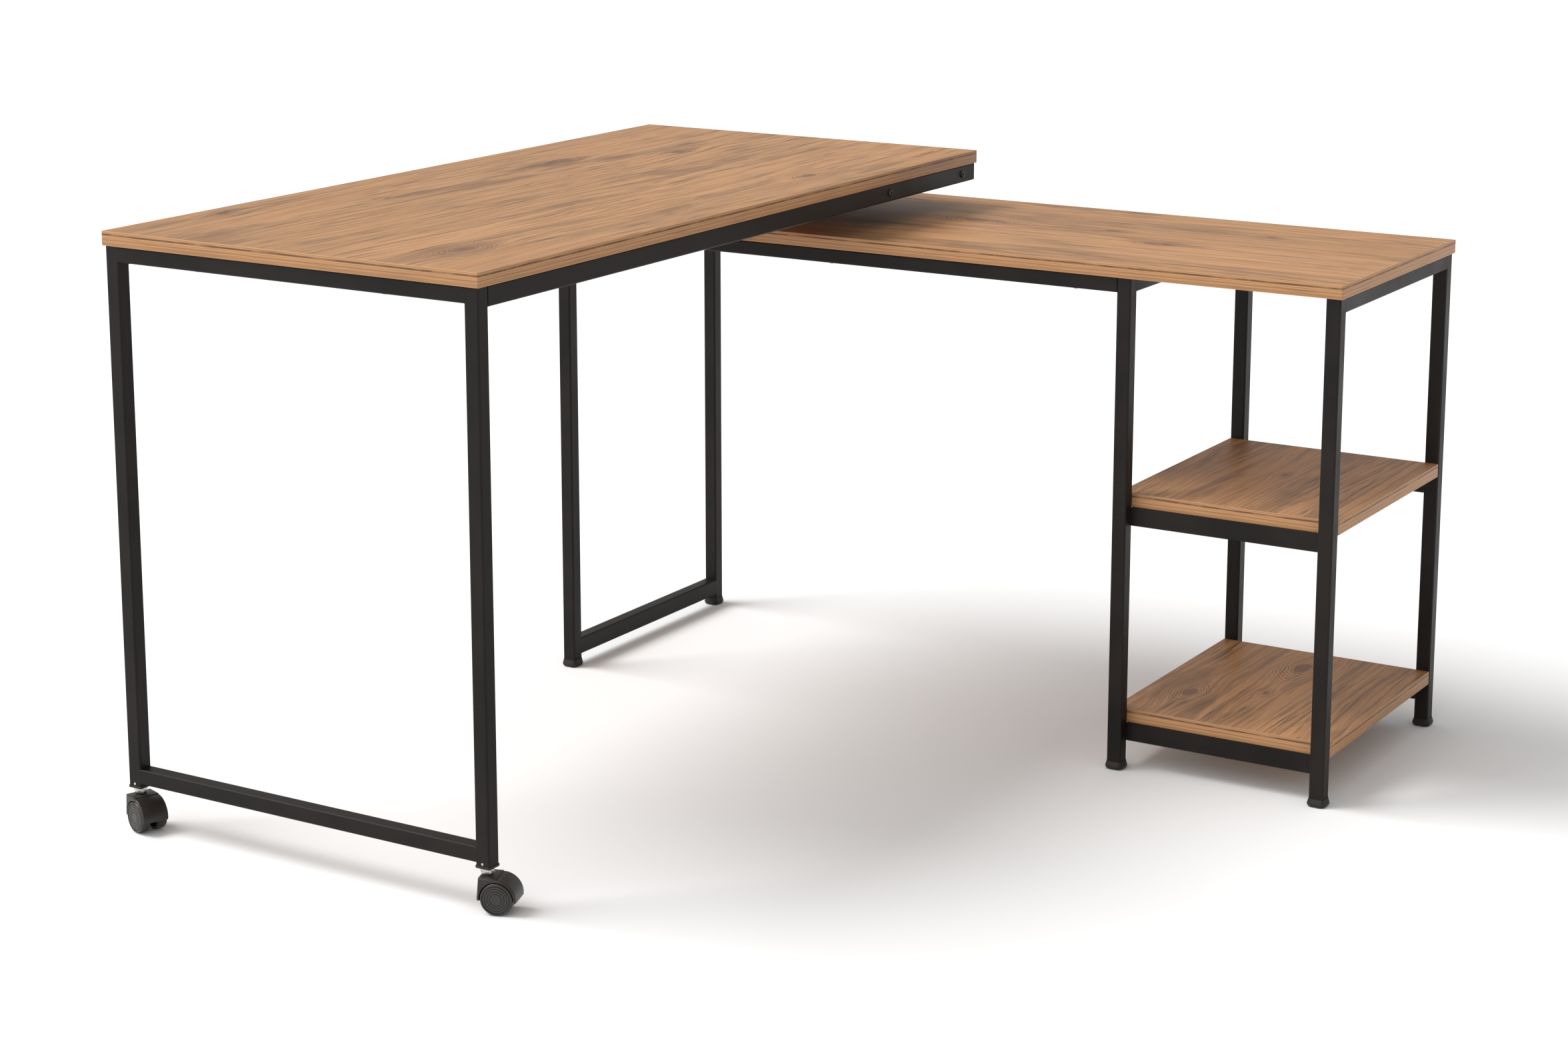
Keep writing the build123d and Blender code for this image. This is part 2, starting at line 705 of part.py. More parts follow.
for label, leg_y in (("fixed_rail_front", front_leg_y), ("fixed_rail_back", back_leg_y)):
    rail = tube_bar(
        "X",
        (rail_x0, leg_y - tube_size / 2, fixed_rail_low),
        (rail_x1, leg_y + tube_size / 2, fixed_under),
    )
    drill(rail, [(x, leg_y) for x in long_screw_xs], screw_hole, fixed_rail_low, fixed_under)
    drill(
        rail,
        [(rail_x0 + access_hole_inset, leg_y), (rail_x1 - access_hole_inset, leg_y)],
        access_hole_radius,
        fixed_rail_low,
        fixed_rail_low + tube_wall,
    )
    save(rail.part, label)

with BuildPart() as fixed_rail_end_plates:
    for plate_x in (frame_x0 + tube_size, rail_x1):
        with BuildSketch(Plane.YZ.offset(plate_x)):
            with Locations((front_leg_y, fixed_bolt_z), (back_leg_y, fixed_bolt_z)):
                RectangleRounded(tube_size, tube_size, tube_corner)
                Circle(bolt_radius + hole_clearance, mode=Mode.SUBTRACT)
        extrude(amount=end_plate_thickness)
save(fixed_rail_end_plates.part, "fixed_rail_end_plates")

with BuildPart() as fixed_frame_bolts:
    for leg_face, way in ((frame_x0 + tube_size, 1), (tower_x0, -1)):
        with BuildSketch(Plane.YZ.offset(leg_face + way * end_plate_thickness)):
            with Locations((front_leg_y, fixed_bolt_z), (back_leg_y, fixed_bolt_z)):
                Circle(bolt_head_radius)
        extrude(amount=way * bolt_head_height)
        with BuildSketch(Plane.YZ.offset(leg_face - way * bolt_grip)):
            with Locations((front_leg_y, fixed_bolt_z), (back_leg_y, fixed_bolt_z)):
                Circle(bolt_radius)
        extrude(amount=way * (bolt_grip + end_plate_thickness))
save(fixed_frame_bolts.part, "fixed_frame_bolts")

# ---------------------------------------------------------------- shelf tower
with BuildPart() as shelf_edging:
    for height in (bottom_shelf_height, middle_shelf_height):
        under = height - board_thickness
        with BuildSketch(Plane.XY.offset(under)):
            with Locations(((tower_x0 + frame_x1) / 2, (inner_y0 + inner_y1) / 2)):
                RectangleRounded(tower_width, inner_y1 - inner_y0, board_corner)
                RectangleRounded(
                    tower_width - 2 * edging_thickness,
                    inner_y1 - inner_y0 - 2 * edging_thickness,
                    board_corner - edging_thickness,
                    mode=Mode.SUBTRACT,
                )
        extrude(amount=board_thickness)
save(shelf_edging.part, "shelf_edging")

for level, height in (("bottom", bottom_shelf_height), ("middle", middle_shelf_height)):
    under = height - board_thickness
    shelf = board((tower_x0, inner_y0, under), (frame_x1, inner_y1, height), shelf_screws, pilot_hole)
    save(shelf.part, f"{level}_shelf")
    for end, face_y, way in (("front", inner_y0, 1), ("back", inner_y1, -1)):
        with BuildPart() as support:
            with BuildSketch(Plane.YZ.offset(tower_inner_x0)):
                with BuildLine():
                    Polyline(
                        (face_y - way * angle_thickness, under - angle_leg),
                        (face_y - way * angle_thickness, under),
                        (face_y + way * (angle_leg - angle_thickness), under),
                        (face_y + way * (angle_leg - angle_thickness), under - angle_thickness),
                        (face_y, under - angle_thickness),
                        (face_y, under - angle_leg),
                        close=True,
                    )
                make_face()
            extrude(amount=tower_inner_x1 - tower_inner_x0)
        screw_y = face_y + way * angle_leg / 2
        drill(
            support,
            [(x, screw_y) for x in shelf_screw_xs],
            screw_hole,
            under - angle_thickness,
            under,
        )
        save(support.part, f"{level}_shelf_support_{end}")

rail_shank = tube_size + screw_reach
angle_shank = angle_thickness + screw_reach
fixed_wood_screws = wood_screws(
    [(x, y, fixed_rail_low, rail_shank) for x, y in side_screws + long_screws]
    + [
        (x, y, height - board_thickness - angle_thickness, angle_shank)
        for height in (bottom_shelf_height, middle_shelf_height)
        for x, y in shelf_screws
    ]
)
save(fixed_wood_screws.part, "fixed_wood_screws")

# ---------------------------------------------------------------- feet
foot_inner = tube_size + 2 * foot_clearance
foot_outer = foot_inner + 2 * foot_wall
with BuildPart() as feet:
    for x, y in leg_places.values():
        centre = (x + tube_size / 2, y + tube_size / 2)
        with BuildSketch(Plane.XY):
            with Locations(centre):
                RectangleRounded(foot_outer, foot_outer, tube_corner + foot_wall)
        extrude(amount=foot_height)
    fillet(feet.edges().group_by(Axis.Z)[0], foot_edge)
    for x, y in leg_places.values():
        centre = (x + tube_size / 2, y + tube_size / 2)
        with BuildSketch(Plane.XY.offset(foot_floor)):
            with Locations(centre):
                RectangleRounded(foot_inner, foot_inner, tube_corner)
        extrude(amount=foot_height - foot_floor, mode=Mode.SUBTRACT)
save(feet.part, "feet")
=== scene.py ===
"""Corner desk: finishes, edge bands, ground welds, fasteners, casters, feet and the studio.

Lengths are in metres and places come from the loaded frame.
"""

import json
import math

import bmesh
import bpy
from mathutils import Matrix, Vector


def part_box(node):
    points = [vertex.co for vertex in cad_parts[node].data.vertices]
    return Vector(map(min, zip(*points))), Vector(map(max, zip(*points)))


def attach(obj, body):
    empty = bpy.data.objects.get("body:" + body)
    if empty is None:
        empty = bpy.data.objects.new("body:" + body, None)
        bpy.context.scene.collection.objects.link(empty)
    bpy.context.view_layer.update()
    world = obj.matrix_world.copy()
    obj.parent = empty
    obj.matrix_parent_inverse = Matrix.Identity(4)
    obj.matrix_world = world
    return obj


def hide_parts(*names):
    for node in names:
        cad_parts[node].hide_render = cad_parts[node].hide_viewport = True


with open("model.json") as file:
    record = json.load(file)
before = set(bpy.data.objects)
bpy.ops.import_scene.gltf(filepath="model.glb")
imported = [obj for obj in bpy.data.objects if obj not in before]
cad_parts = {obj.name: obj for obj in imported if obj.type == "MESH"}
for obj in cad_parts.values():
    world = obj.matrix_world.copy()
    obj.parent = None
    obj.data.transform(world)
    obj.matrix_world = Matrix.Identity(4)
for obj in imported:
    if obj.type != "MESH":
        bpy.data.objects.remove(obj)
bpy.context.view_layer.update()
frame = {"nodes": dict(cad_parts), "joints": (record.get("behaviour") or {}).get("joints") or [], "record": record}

bl_info = {
    "name": "Corner desk",
    "version": (1, 0, 0),
    "blender": (4, 5, 0),
    "location": "View3D > Sidebar > Desk",
    "description": "Finishes the corner desk and sets its studio",
    "category": "Object",
}

NODES = frame["nodes"]
JOINTS = {joint["child"]: joint for joint in frame["joints"]}
BODY_OF = {
    node: body
    for body, nodes in frame["record"]["behaviour"]["bodies"].items()
    for node in nodes
}
SLOT_OF = {row["node"]: row["material_slot"] for row in frame["record"]["subparts"]}

MERGE = 1e-6
UP = Vector((0, 0, 1))
QUARTER_TURN = math.pi / 2

# Degrees past which an edge is shaded sharp, under which a CAD node's facets are merged, and
# past which its edges are rounded
SHARP_ANGLE = 32.0
FOOT_SHARP_ANGLE = 50
FLAT_ANGLE = 0.4
BEVEL_ANGLE = 40
BEVEL_SEGMENTS = 3

# The grain's pace along a board, and the range of the print's roughness
GRAIN_PACE = 0.62
BOARD_ROUGHNESS = (0.42, 0.54)

# Head height and shank radius of each kind of fastener
FASTENERS = {
    "swing_top_screws": (0.0020, 0.0020),
    "fixed_wood_screws": (0.0020, 0.0020),
    "pivot_base_screws": (0.0020, 0.0020),
    "pivot_plate_bolts": (0.0032, 0.0030),
    "swing_cross_rail_bolts": (0.0026, 0.0030),
}
RECESS_WIDTH = 0.24  # of the cross recess, as a share of its reach

# Caster
HOOD_EDGE = 0.0005
PLUG_EDGE = 0.0004
PIN_RADIUS = 0.0035
PIN_CHAMFER = 0.0005
THREAD_RADIUS = 0.0040
THREAD_ROOT = 0.87 * THREAD_RADIUS
THREAD_TURNS = 9
COLLAR_GAP = 0.0003
COLLAR_FLATS = 0.995  # share of the CAD collar's width across its flats

# Edges broken on the small parts
SOFTENED = {
    "swing_rail_end_caps": 0.0004,
    "pivot_base_plate": 0.0004,
    "pivot_swing_plate": 0.0004,
    "pivot_post": 0.0006,
    "pivot_lock_nut": 0.0006,
    "pivot_thrust_washer": 0.0003,
    "pivot_bush": 0.0003,
}

# Studio
FLOOR_REACH = 30.0
KEY_FROM, KEY_SPREAD = (-2.1, -0.9, 3.0), math.radians(30)
FILL_FROM, FILL_SPREAD = (-1.1, -3.0, 1.7), math.radians(70)
SENSOR_WIDTH = 36.0
VIEW_REACH = 200.0

SIDES = ("left", "right")
WHEEL_PLACES = ("front", "back")


# ---- sizes and colours
class DeskBoards(bpy.types.PropertyGroup):
    """Laminate boards and their edge bands."""

    pale: bpy.props.FloatVectorProperty(
        name="Pale grain", description="Lightest wood of the print", subtype="COLOR",
        size=3, min=0, max=1, default=(0.510, 0.268, 0.116),
    )
    middle: bpy.props.FloatVectorProperty(
        name="Middle grain", description="Main wood of the print", subtype="COLOR",
        size=3, min=0, max=1, default=(0.270, 0.124, 0.048),
    )
    dark: bpy.props.FloatVectorProperty(
        name="Dark grain", description="Late wood lines, knots and checks", subtype="COLOR",
        size=3, min=0, max=1, default=(0.075, 0.036, 0.017),
    )
    plank: bpy.props.FloatProperty(
        name="Plank width", description="Width of one printed plank", unit="LENGTH",
        default=0.143,
    )
    band: bpy.props.FloatProperty(
        name="Band thickness", description="Thickness of the edge band", unit="LENGTH",
        default=0.001,
    )
    corner: bpy.props.FloatProperty(
        name="Corner radius", description="Radius of a board's upright corners", unit="LENGTH",
        default=0.002,
    )
    soft_edge: bpy.props.FloatProperty(
        name="Scraped edge", description="Radius scraped on the band's long edges", unit="LENGTH",
        default=0.0006,
    )


class DeskFrame(bpy.types.PropertyGroup):
    """Powder-coated steel and its welds."""

    coat: bpy.props.FloatVectorProperty(
        name="Coat", description="Powder coat colour", subtype="COLOR", size=3, min=0, max=1,
        default=(0.0085, 0.0062, 0.0050),
    )
    tube_corner: bpy.props.FloatProperty(
        name="Tube corner", description="Outer corner radius of the tubes", unit="LENGTH",
        default=0.0025,
    )
    weld_swell: bpy.props.FloatProperty(
        name="Weld swell", description="How far a ground weld stands proud", unit="LENGTH",
        default=0.00015,
    )


class DeskCasters(bpy.types.PropertyGroup):
    """Twin-wheel casters."""

    hood: bpy.props.FloatVectorProperty(
        name="Hood", description="Moulded hood colour", subtype="COLOR", size=3, min=0, max=1,
        default=(0.020, 0.0155, 0.013),
    )
    wheel: bpy.props.FloatVectorProperty(
        name="Wheel", description="Nylon wheel colour", subtype="COLOR", size=3, min=0, max=1,
        default=(0.018, 0.0145, 0.0125),
    )
    ring_depth: bpy.props.FloatProperty(
        name="Ring depth", description="Depth of the turned rings on a wheel's face", unit="LENGTH",
        default=0.00055,
    )


class DeskStage(bpy.types.PropertyGroup):
    """Camera and lights."""

    lens: bpy.props.FloatProperty(
        name="Lens", description="Focal length in mm", unit="CAMERA", default=71.2
    )
    shift: bpy.props.FloatProperty(
        name="Rise", description="Vertical lens shift, in frame widths", default=-0.10
    )
    turn: bpy.props.FloatProperty(
        name="Turn", description="Camera's turn about the upright axis", subtype="ANGLE",
        default=math.radians(31.3),
    )
    pitch: bpy.props.FloatProperty(
        name="Pitch", description="How far the camera looks down", subtype="ANGLE",
        default=math.radians(11.7),
    )
    stand: bpy.props.FloatVectorProperty(
        name="Stand", description="Where the camera stands", subtype="TRANSLATION", size=3,
        default=(2.011, -3.375, 1.369),
    )
    key: bpy.props.FloatProperty(
        name="Key", description="Strength of the soft key light", default=2.4
    )
    fill: bpy.props.FloatProperty(
        name="Fill", description="Strength of the soft front light", default=1.05
    )
    sky: bpy.props.FloatProperty(
        name="Sky", description="Strength of the room's light", default=0.56
    )


# ---- material helper
class Finish:
    """A material that is built up node by node."""

    def __init__(self, name):
        self.material = bpy.data.materials.new(name)
        self.material.use_nodes = True
        self.nodes = self.material.node_tree.nodes
        self.links = self.material.node_tree.links
        self.shader = self.nodes["Principled BSDF"]

    def feed(self, socket, value):
        if isinstance(value, bpy.types.NodeSocket):
            self.links.new(value, socket)
        elif hasattr(value, "__len__") and len(value) == 3 and socket.type == "RGBA":
            socket.default_value = (*value, 1.0)
        else:
            socket.default_value = value

    def add(self, kind, inputs, **settings):
        node = self.nodes.new(kind)
        for name, value in settings.items():
            setattr(node, name, value)
        for name, value in inputs.items():
            self.feed(node.inputs[name], value)
        return node

    def maths(self, operation, a, b=0.0, c=0.0):
        node = self.nodes.new("ShaderNodeMath")
        node.operation = operation
        for socket, value in zip(node.inputs, (a, b, c)):
            self.feed(socket, value)
        return node.outputs[0]

    def mix(self, share, a, b, blend_type="MIX"):
        node = self.nodes.new("ShaderNodeMix")
        node.data_type = "RGBA"
        node.blend_type = blend_type
        sockets = [s for s in node.inputs if s.enabled]
        for socket, value in zip(sockets, (share, a, b)):
            self.feed(socket, value)
        return [s for s in node.outputs if s.enabled][0]

    def times(self, a, b):
        return self.maths("MULTIPLY", a, b)

    def times_plus(self, a, b, c):
        return self.maths("MULTIPLY_ADD", a, b, c)

    def layered(self, colour, layers):
        """Lay each (share, colour) over what is there, in order."""
        for share, over in layers:
            colour = self.mix(share, colour, over)
        return colour

    def spread(self, value, low, high, to_low=0.0, to_high=1.0, smooth=True):
        """Map a range of values to another, with soft ends unless smooth is off."""
        inputs = {
            "Value": value, "From Min": low, "From Max": high, "To Min": to_low, "To Max": to_high,
        }
        kind = "SMOOTHSTEP" if smooth else "LINEAR"
        return self.add("ShaderNodeMapRange", inputs, interpolation_type=kind).outputs[0]

    def noise(self, vector, scale, detail=3.0, rough=0.55):
        inputs = {"Vector": vector, "Scale": scale, "Detail": detail, "Roughness": rough}
        return self.add("ShaderNodeTexNoise", inputs).outputs[0]

    def lines(self, value, scale, detail=2.0, rough=0.6):
        """Uneven parallel lines: one-dimensional noise over a value."""
        inputs = {"W": value, "Scale": scale, "Detail": detail, "Roughness": rough}
        return self.add("ShaderNodeTexNoise", inputs, noise_dimensions="1D").outputs[0]

    def point(self, x, y, z=0.0):
        return self.add("ShaderNodeCombineXYZ", {"X": x, "Y": y, "Z": z}).outputs[0]

    def split(self, vector):
        return self.add("ShaderNodeSeparateXYZ", {"Vector": vector}).outputs

    def place(self):
        """Object coordinates, in metres."""
        return self.add("ShaderNodeTexCoord", {}).outputs["Object"]

    def wrap(self, layer):
        """The two directions of the piece's own UV map."""
        return self.split(self.add("ShaderNodeUVMap", {}, uv_map=layer).outputs[0])[:2]

    def bump(self, height, strength, distance):
        inputs = {"Height": height, "Strength": strength, "Distance": distance}
        self.links.new(self.add("ShaderNodeBump", inputs).outputs[0], self.shader.inputs["Normal"])

    def set(self, **values):
        for name, value in values.items():
            self.feed(self.shader.inputs[name.replace("_", " ")], value)
        return self.material


# ---- wood
def knot_at(finish, along, across, place, size):
    """One knot: how much it darkens, its fine rings, and the grain level that bends round it."""
    reach_along = finish.times(finish.maths("SUBTRACT", along, place[0]), 0.5)
    reach_across = finish.maths("SUBTRACT", across, place[1])
    square = finish.times(reach_along, reach_along)
    reach = finish.maths("SQRT", finish.times_plus(reach_across, reach_across, square))
    wobble = finish.noise(finish.point(along, across, size), 60.0, 2.0)
    reach = finish.times_plus(finish.maths("SUBTRACT", wobble, 0.5), size * 0.7, reach)
    near = finish.spread(reach, 4.6 * size, 0.6 * size)
    level = finish.times_plus(finish.times(reach_across, near), -0.8, across)
    core = finish.spread(reach, 0.95 * size, 0.62 * size)
    phase = finish.times(reach, math.tau / (0.30 * size))
    wave = finish.spread(finish.maths("SINE", phase), 0.0, 0.9)
    rings = finish.times(wave, finish.spread(reach, 3.4 * size, 1.3 * size))
    return core, rings, level


def rustic_wood(finish, along, across, seed, boards, knots):
    """Colour, roughness and relief of a rustic board print, from two lengths in metres."""
    plank = finish.maths("FLOOR", finish.maths("DIVIDE", across, boards.plank))
    chance = finish.add(
        "ShaderNodeTexWhiteNoise", {"W": finish.maths("ADD", plank, seed)}, noise_dimensions="1D"
    ).outputs["Value"]
    run = finish.times_plus(chance, 7.0, along)

    core, rings = 0.0, 0.0
    level = across
    for place, size in knots:
        here, halo, level = knot_at(finish, along, level, place, size)
        core = finish.maths("MAXIMUM", core, here)
        rings = finish.maths("MAXIMUM", rings, halo)

    def stretched(by_run, by_level, shift, detail=3.0, rough=0.55):
        run_part = finish.times(run, GRAIN_PACE * by_run)
        place = finish.point(run_part, finish.times(level, by_level), seed + shift)
        return finish.noise(place, 1.0, detail, rough)

    wander = stretched(1.6, 4.0, 0.0, 2.0)
    curl = stretched(9.0, 26.0, 1.0, 2.0)
    level = finish.times_plus(wander, 0.10, level)
    level = finish.times_plus(curl, 0.012, level)
    growth = finish.lines(level, 110.0, 5.0, 0.75)
    fibre = stretched(16.0, 700.0, 2.0, 4.0, 0.7)
    streak = stretched(6.0, 210.0, 3.0, 5.0, 0.70)
    cloud = stretched(4.5, 13.0, 4.0, 5.0, 0.6)
    smear = stretched(6.0, 30.0, 5.0, 5.0, 0.65)
    cracks = stretched(13.0, 240.0, 6.0, 2.0)
    groups = stretched(5.5, 12.0, 7.0, 1.0)

    grain = finish.times_plus(growth, 0.38, finish.times(streak, 0.62))
    warm = [channel * share for channel, share in zip(boards.pale, (1.06, 0.92, 0.74))]
    ash = [0.60 * channel + 0.012 for channel in boards.middle]
    fine, group = finish.spread(cracks, 0.60, 0.66), finish.spread(groups, 0.50, 0.58)
    crack = finish.times(fine, group)
    layers = (
        (finish.spread(grain, 0.38, 0.56), boards.pale),
        (finish.spread(cloud, 0.52, 0.70, 0.0, 0.55), warm),
        (finish.spread(growth, 0.42, 0.28, 0.0, 0.26), boards.dark),
        (finish.spread(fibre, 0.52, 0.66, 0.0, 0.50), boards.dark),
        (finish.spread(fibre, 0.46, 0.26, 0.0, 0.30), boards.pale),
        (finish.spread(cloud, 0.49, 0.34, 0.0, 0.42), boards.dark),
        (finish.spread(smear, 0.54, 0.68, 0.0, 0.46), boards.dark),
        (finish.times(crack, 0.80), boards.dark),
        (finish.times(rings, 0.62), boards.dark),
        (finish.times(core, 0.90), ash),
    )
    colour = finish.layered(boards.middle, layers)
    tone = finish.spread(chance, 0.0, 1.0, 0.92, 1.08, False)
    colour = finish.mix(1.0, colour, finish.point(tone, tone, tone), "MULTIPLY")

    roughness = finish.spread(grain, 0.2, 0.8, *BOARD_ROUGHNESS)
    dips = finish.maths("ADD", finish.spread(fibre, 0.54, 0.74), crack)
    relief = finish.times_plus(dips, -0.6, grain)
    return colour, roughness, relief


def laminate(name, grain_along_y, seed, knots):
    """Flat printed face of a board, read from object coordinates."""
    boards = bpy.context.scene.desk_boards
    finish = Finish(name)
    x, y = finish.split(finish.place())[:2]
    along, across = (y, x) if grain_along_y else (x, y)
    colour, roughness, relief = rustic_wood(finish, along, across, seed, boards, knots)
    finish.bump(relief, 0.35, 0.00012)
    return finish.set(Base_Color=colour, Roughness=roughness, Specular_IOR_Level=0.35)


def edge_band_finish(thickness):
    """Printed edge band, with pale edges that are partly wear and partly painted highlight, read from its own UV:
    length along the edge and height up the board.
    """
    boards = bpy.context.scene.desk_boards
    finish = Finish("edge_band")
    along, up = finish.wrap("band")
    drift = finish.noise(finish.point(finish.times(along, 5.0), 0.0, 3.0), 1.0, 3.0)
    level = finish.times_plus(drift, 0.006, up)
    rings = finish.lines(level, 520.0)

    def stretched(by_run, rise, by_rise, seed):
        place = finish.point(finish.times(along, by_run), finish.times(rise, by_rise), seed)
        return finish.noise(place, 1.0)

    fibre = stretched(14.0, level, 900.0, 5.0)
    patches = stretched(3.0, up, 30.0, 8.0)
    above = finish.maths("SUBTRACT", up, thickness * 0.62)
    streak_level = finish.times_plus(drift, -0.0055, above)
    streak = finish.spread(finish.maths("ABSOLUTE", streak_level), 0.0016, 0.0003)
    breaks = finish.noise(finish.point(finish.times(along, 22.0), 1.0, 0.0), 1.0, 3.0)
    streak = finish.times(streak, finish.spread(breaks, 0.36, 0.55, 0.35, 0.95))
    # Pale lines along the band's top and bottom edges: partly worn edges, partly a painted highlight where the
    # scraped edges catch the light
    half = thickness / 2
    from_middle = finish.maths("ABSOLUTE", finish.maths("SUBTRACT", up, half))
    layers = (
        (finish.spread(rings, 0.26, 0.66), boards.pale),
        (finish.spread(fibre, 0.50, 0.72, 0.0, 0.42), boards.dark),
        (finish.spread(patches, 0.5, 0.75, 0.0, 0.35), boards.dark),
        (streak, boards.dark),
        (finish.spread(from_middle, half - 0.0009, half - 0.0002, 0.0, 0.55), boards.pale),
    )
    colour = finish.layered(boards.middle, layers)
    finish.bump(finish.times_plus(fibre, -0.5, rings), 0.3, 0.0001)
    roughness = finish.spread(rings, 0.2, 0.8, *BOARD_ROUGHNESS)
    return finish.set(Base_Color=colour, Roughness=roughness, Specular_IOR_Level=0.4)


# ---- steel, nylon and moulded plastic
def speckled(name, colour, scale, bump_distance, rough, rough_spread=0.08, tint=0.25, **shader):
    """A coat or moulding: cloudy tone, fine pebble and roughness that varies a little."""
    finish = Finish(name)
    place = finish.place()
    cloud = finish.noise(place, 9.0, 3.0)
    pebble = finish.noise(place, scale, 2.0)
    lighter = [channel * (1 + tint) + 0.002 for channel in colour]
    darker = [channel * (1 - tint) for channel in colour]
    tone = finish.mix(finish.spread(cloud, 0.3, 0.7), darker, lighter)
    tone = finish.mix(finish.spread(pebble, 0.62, 0.74, 0.0, 0.35), tone, lighter)
    roughness = finish.spread(cloud, 0.25, 0.75, rough - rough_spread, rough + rough_spread)
    finish.bump(pebble, 0.25, bump_distance)
    return finish.set(Base_Color=tone, Roughness=roughness, **shader)


def zinc_finish():
    """Bright zinc plate with a faint cloud and hairline scratches."""
    finish = Finish("zinc_steel")
    place = finish.place()
    cloud = finish.noise(place, 60.0, 4.0)
    scratch = finish.noise(place, 2200.0, 1.0)
    tone = finish.mix(finish.spread(cloud, 0.3, 0.7), (0.50, 0.50, 0.48), (0.72, 0.71, 0.66))
    finish.bump(scratch, 0.15, 0.00002)
    roughness = finish.spread(cloud, 0.3, 0.7, 0.24, 0.40)
    return finish.set(Base_Color=tone, Roughness=roughness, Metallic=1.0)


def turned_nylon(colour):
    """Wheel nylon with tool rings about its own axis, read from its UV."""
    finish = Finish("caster_nylon")
    _, travel = finish.wrap("turned")
    rings = finish.lines(travel, 2600.0, 2.0)
    cloud = finish.noise(finish.place(), 90.0, 3.0)
    dull = [channel * 1.6 for channel in colour]
    tone = finish.mix(finish.spread(cloud, 0.4, 0.75, 0.0, 0.6), list(colour), dull)
    finish.bump(rings, 0.2, 0.00004)
    roughness = finish.spread(cloud, 0.3, 0.7, 0.27, 0.38)
    return finish.set(Base_Color=tone, Roughness=roughness, Specular_IOR_Level=0.55)


def material_for(slot):
    """The finish of a record slot, made the first time that it is asked for."""
    found = bpy.data.materials.get("finish_" + slot)
    if found:
        return found
    scene = bpy.context.scene
    makers = {
        "powder_coat": lambda: speckled(
            "coat", scene.desk_frame.coat, scale=1400.0, bump_distance=0.00005, rough=0.46,
            rough_spread=0.07, tint=0.30, Specular_IOR_Level=0.19,
        ),
        "black_plastic": lambda: speckled(
            "cap", (0.014, 0.0115, 0.010), scale=2400.0, bump_distance=0.00004, rough=0.46,
            Specular_IOR_Level=0.30,
        ),
        "caster_plastic": lambda: speckled(
            "hood", scene.desk_casters.hood, scale=2600.0, bump_distance=0.00003, rough=0.34,
            Specular_IOR_Level=0.40,
        ),
        "bearing_nylon": lambda: speckled(
            "bearing", (0.78, 0.75, 0.66), scale=900.0, bump_distance=0.00003, rough=0.42,
            rough_spread=0.06, tint=0.05,
        ),
        "zinc_steel": zinc_finish,
        "caster_nylon": lambda: turned_nylon(scene.desk_casters.wheel),
    }
    material = makers[slot]()
    material.name = "finish_" + slot
    return material


# ---- mesh helpers
def solids_of(node):
    """Lowest and highest corners of each separate solid in a CAD node."""
    work = bmesh.new()
    work.from_mesh(NODES[node].data)
    bmesh.ops.remove_doubles(work, verts=work.verts, dist=MERGE)
    waiting = set(work.verts)
    boxes = []
    while waiting:
        stack = [waiting.pop()]
        group = list(stack)
        while stack:
            for edge in stack.pop().link_edges:
                for vertex in edge.verts:
                    if vertex in waiting:
                        waiting.remove(vertex)
                        stack.append(vertex)
                        group.append(vertex)
        low = Vector([min(v.co[i] for v in group) for i in range(3)])
        high = Vector([max(v.co[i] for v in group) for i in range(3)])
        boxes.append((low, high))
    work.free()
    return sorted(boxes, key=lambda box: tuple(round(x, 5) for x in box[0]))


def quarter_arc(parts, first=0, last=None):
    """Cosine and sine at even steps of a quarter turn, up to its end unless last is given."""
    steps = range(first, (parts if last is None else last) + 1)
    angles = [QUARTER_TURN * step / parts for step in steps]
    return [(math.cos(angle), math.sin(angle)) for angle in angles]


def smooth_shade(mesh, angle=SHARP_ANGLE):
    """Shade a mesh smooth except at its sharp edges."""
    mesh.shade_smooth()
    mesh.set_sharp_from_angle(angle=math.radians(angle))
    return mesh


def linked_object(name, data):
    """A new object at the origin, in the scene."""
    thing = bpy.data.objects.new(name, data)
    bpy.context.scene.collection.objects.link(thing)
    return thing


def finished_mesh(work, name, place=None):
    """Turn a closed shape's faces outwards and hand it over as a mesh."""
    bmesh.ops.recalc_face_normals(work, faces=work.faces)
    if place is not None:
        work.transform(place)
    mesh = bpy.data.meshes.new(name)
    work.to_mesh(mesh)
    work.free()
    return mesh


def lofted_mesh(name, rows):
    """A closed shape through rows of points, with a flat face at each end."""
    work = bmesh.new()
    rings = [[work.verts.new(point) for point in row] for row in rows]
    for low, high in zip(rings, rings[1:]):
        for step in range(len(low)):
            after = (step + 1) % len(low)
            work.faces.new((low[step], low[after], high[after], high[step]))
    work.faces.new(rings[0])
    work.faces.new(rings[-1])
    return finished_mesh(work, name)


def paint(node, material):
    """Give a CAD node its finish."""
    for slot in NODES[node].material_slots:
        slot.material = material


def place_piece(name, mesh, material, body, replaced=()):
    """Link a finished mesh, give it its material and let it ride on its body."""
    piece = linked_object(name, mesh)
    mesh.materials.clear()
    mesh.materials.append(material)
    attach(piece, body)
    if replaced:
        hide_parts(*replaced)


def stand_in(node, name, mesh, material):
    """Put a made piece in a CAD node's stead, on the node's own body."""
    place_piece(name, mesh, material, BODY_OF[node], (node,))


def outline_radius(outline, radius, angle):
    """How far an outline is from its axis: hex across its flats, a cross recess, or round."""
    if "hex" in outline:
        sixth = math.pi / 3
        return radius / math.cos((angle + sixth / 2) % sixth - sixth / 2)
    if "cross" in outline:
        short, long = sorted((abs(math.cos(angle)), abs(math.sin(angle))))
        return min(radius / long, RECESS_WIDTH * radius / max(short, MERGE))
    return radius


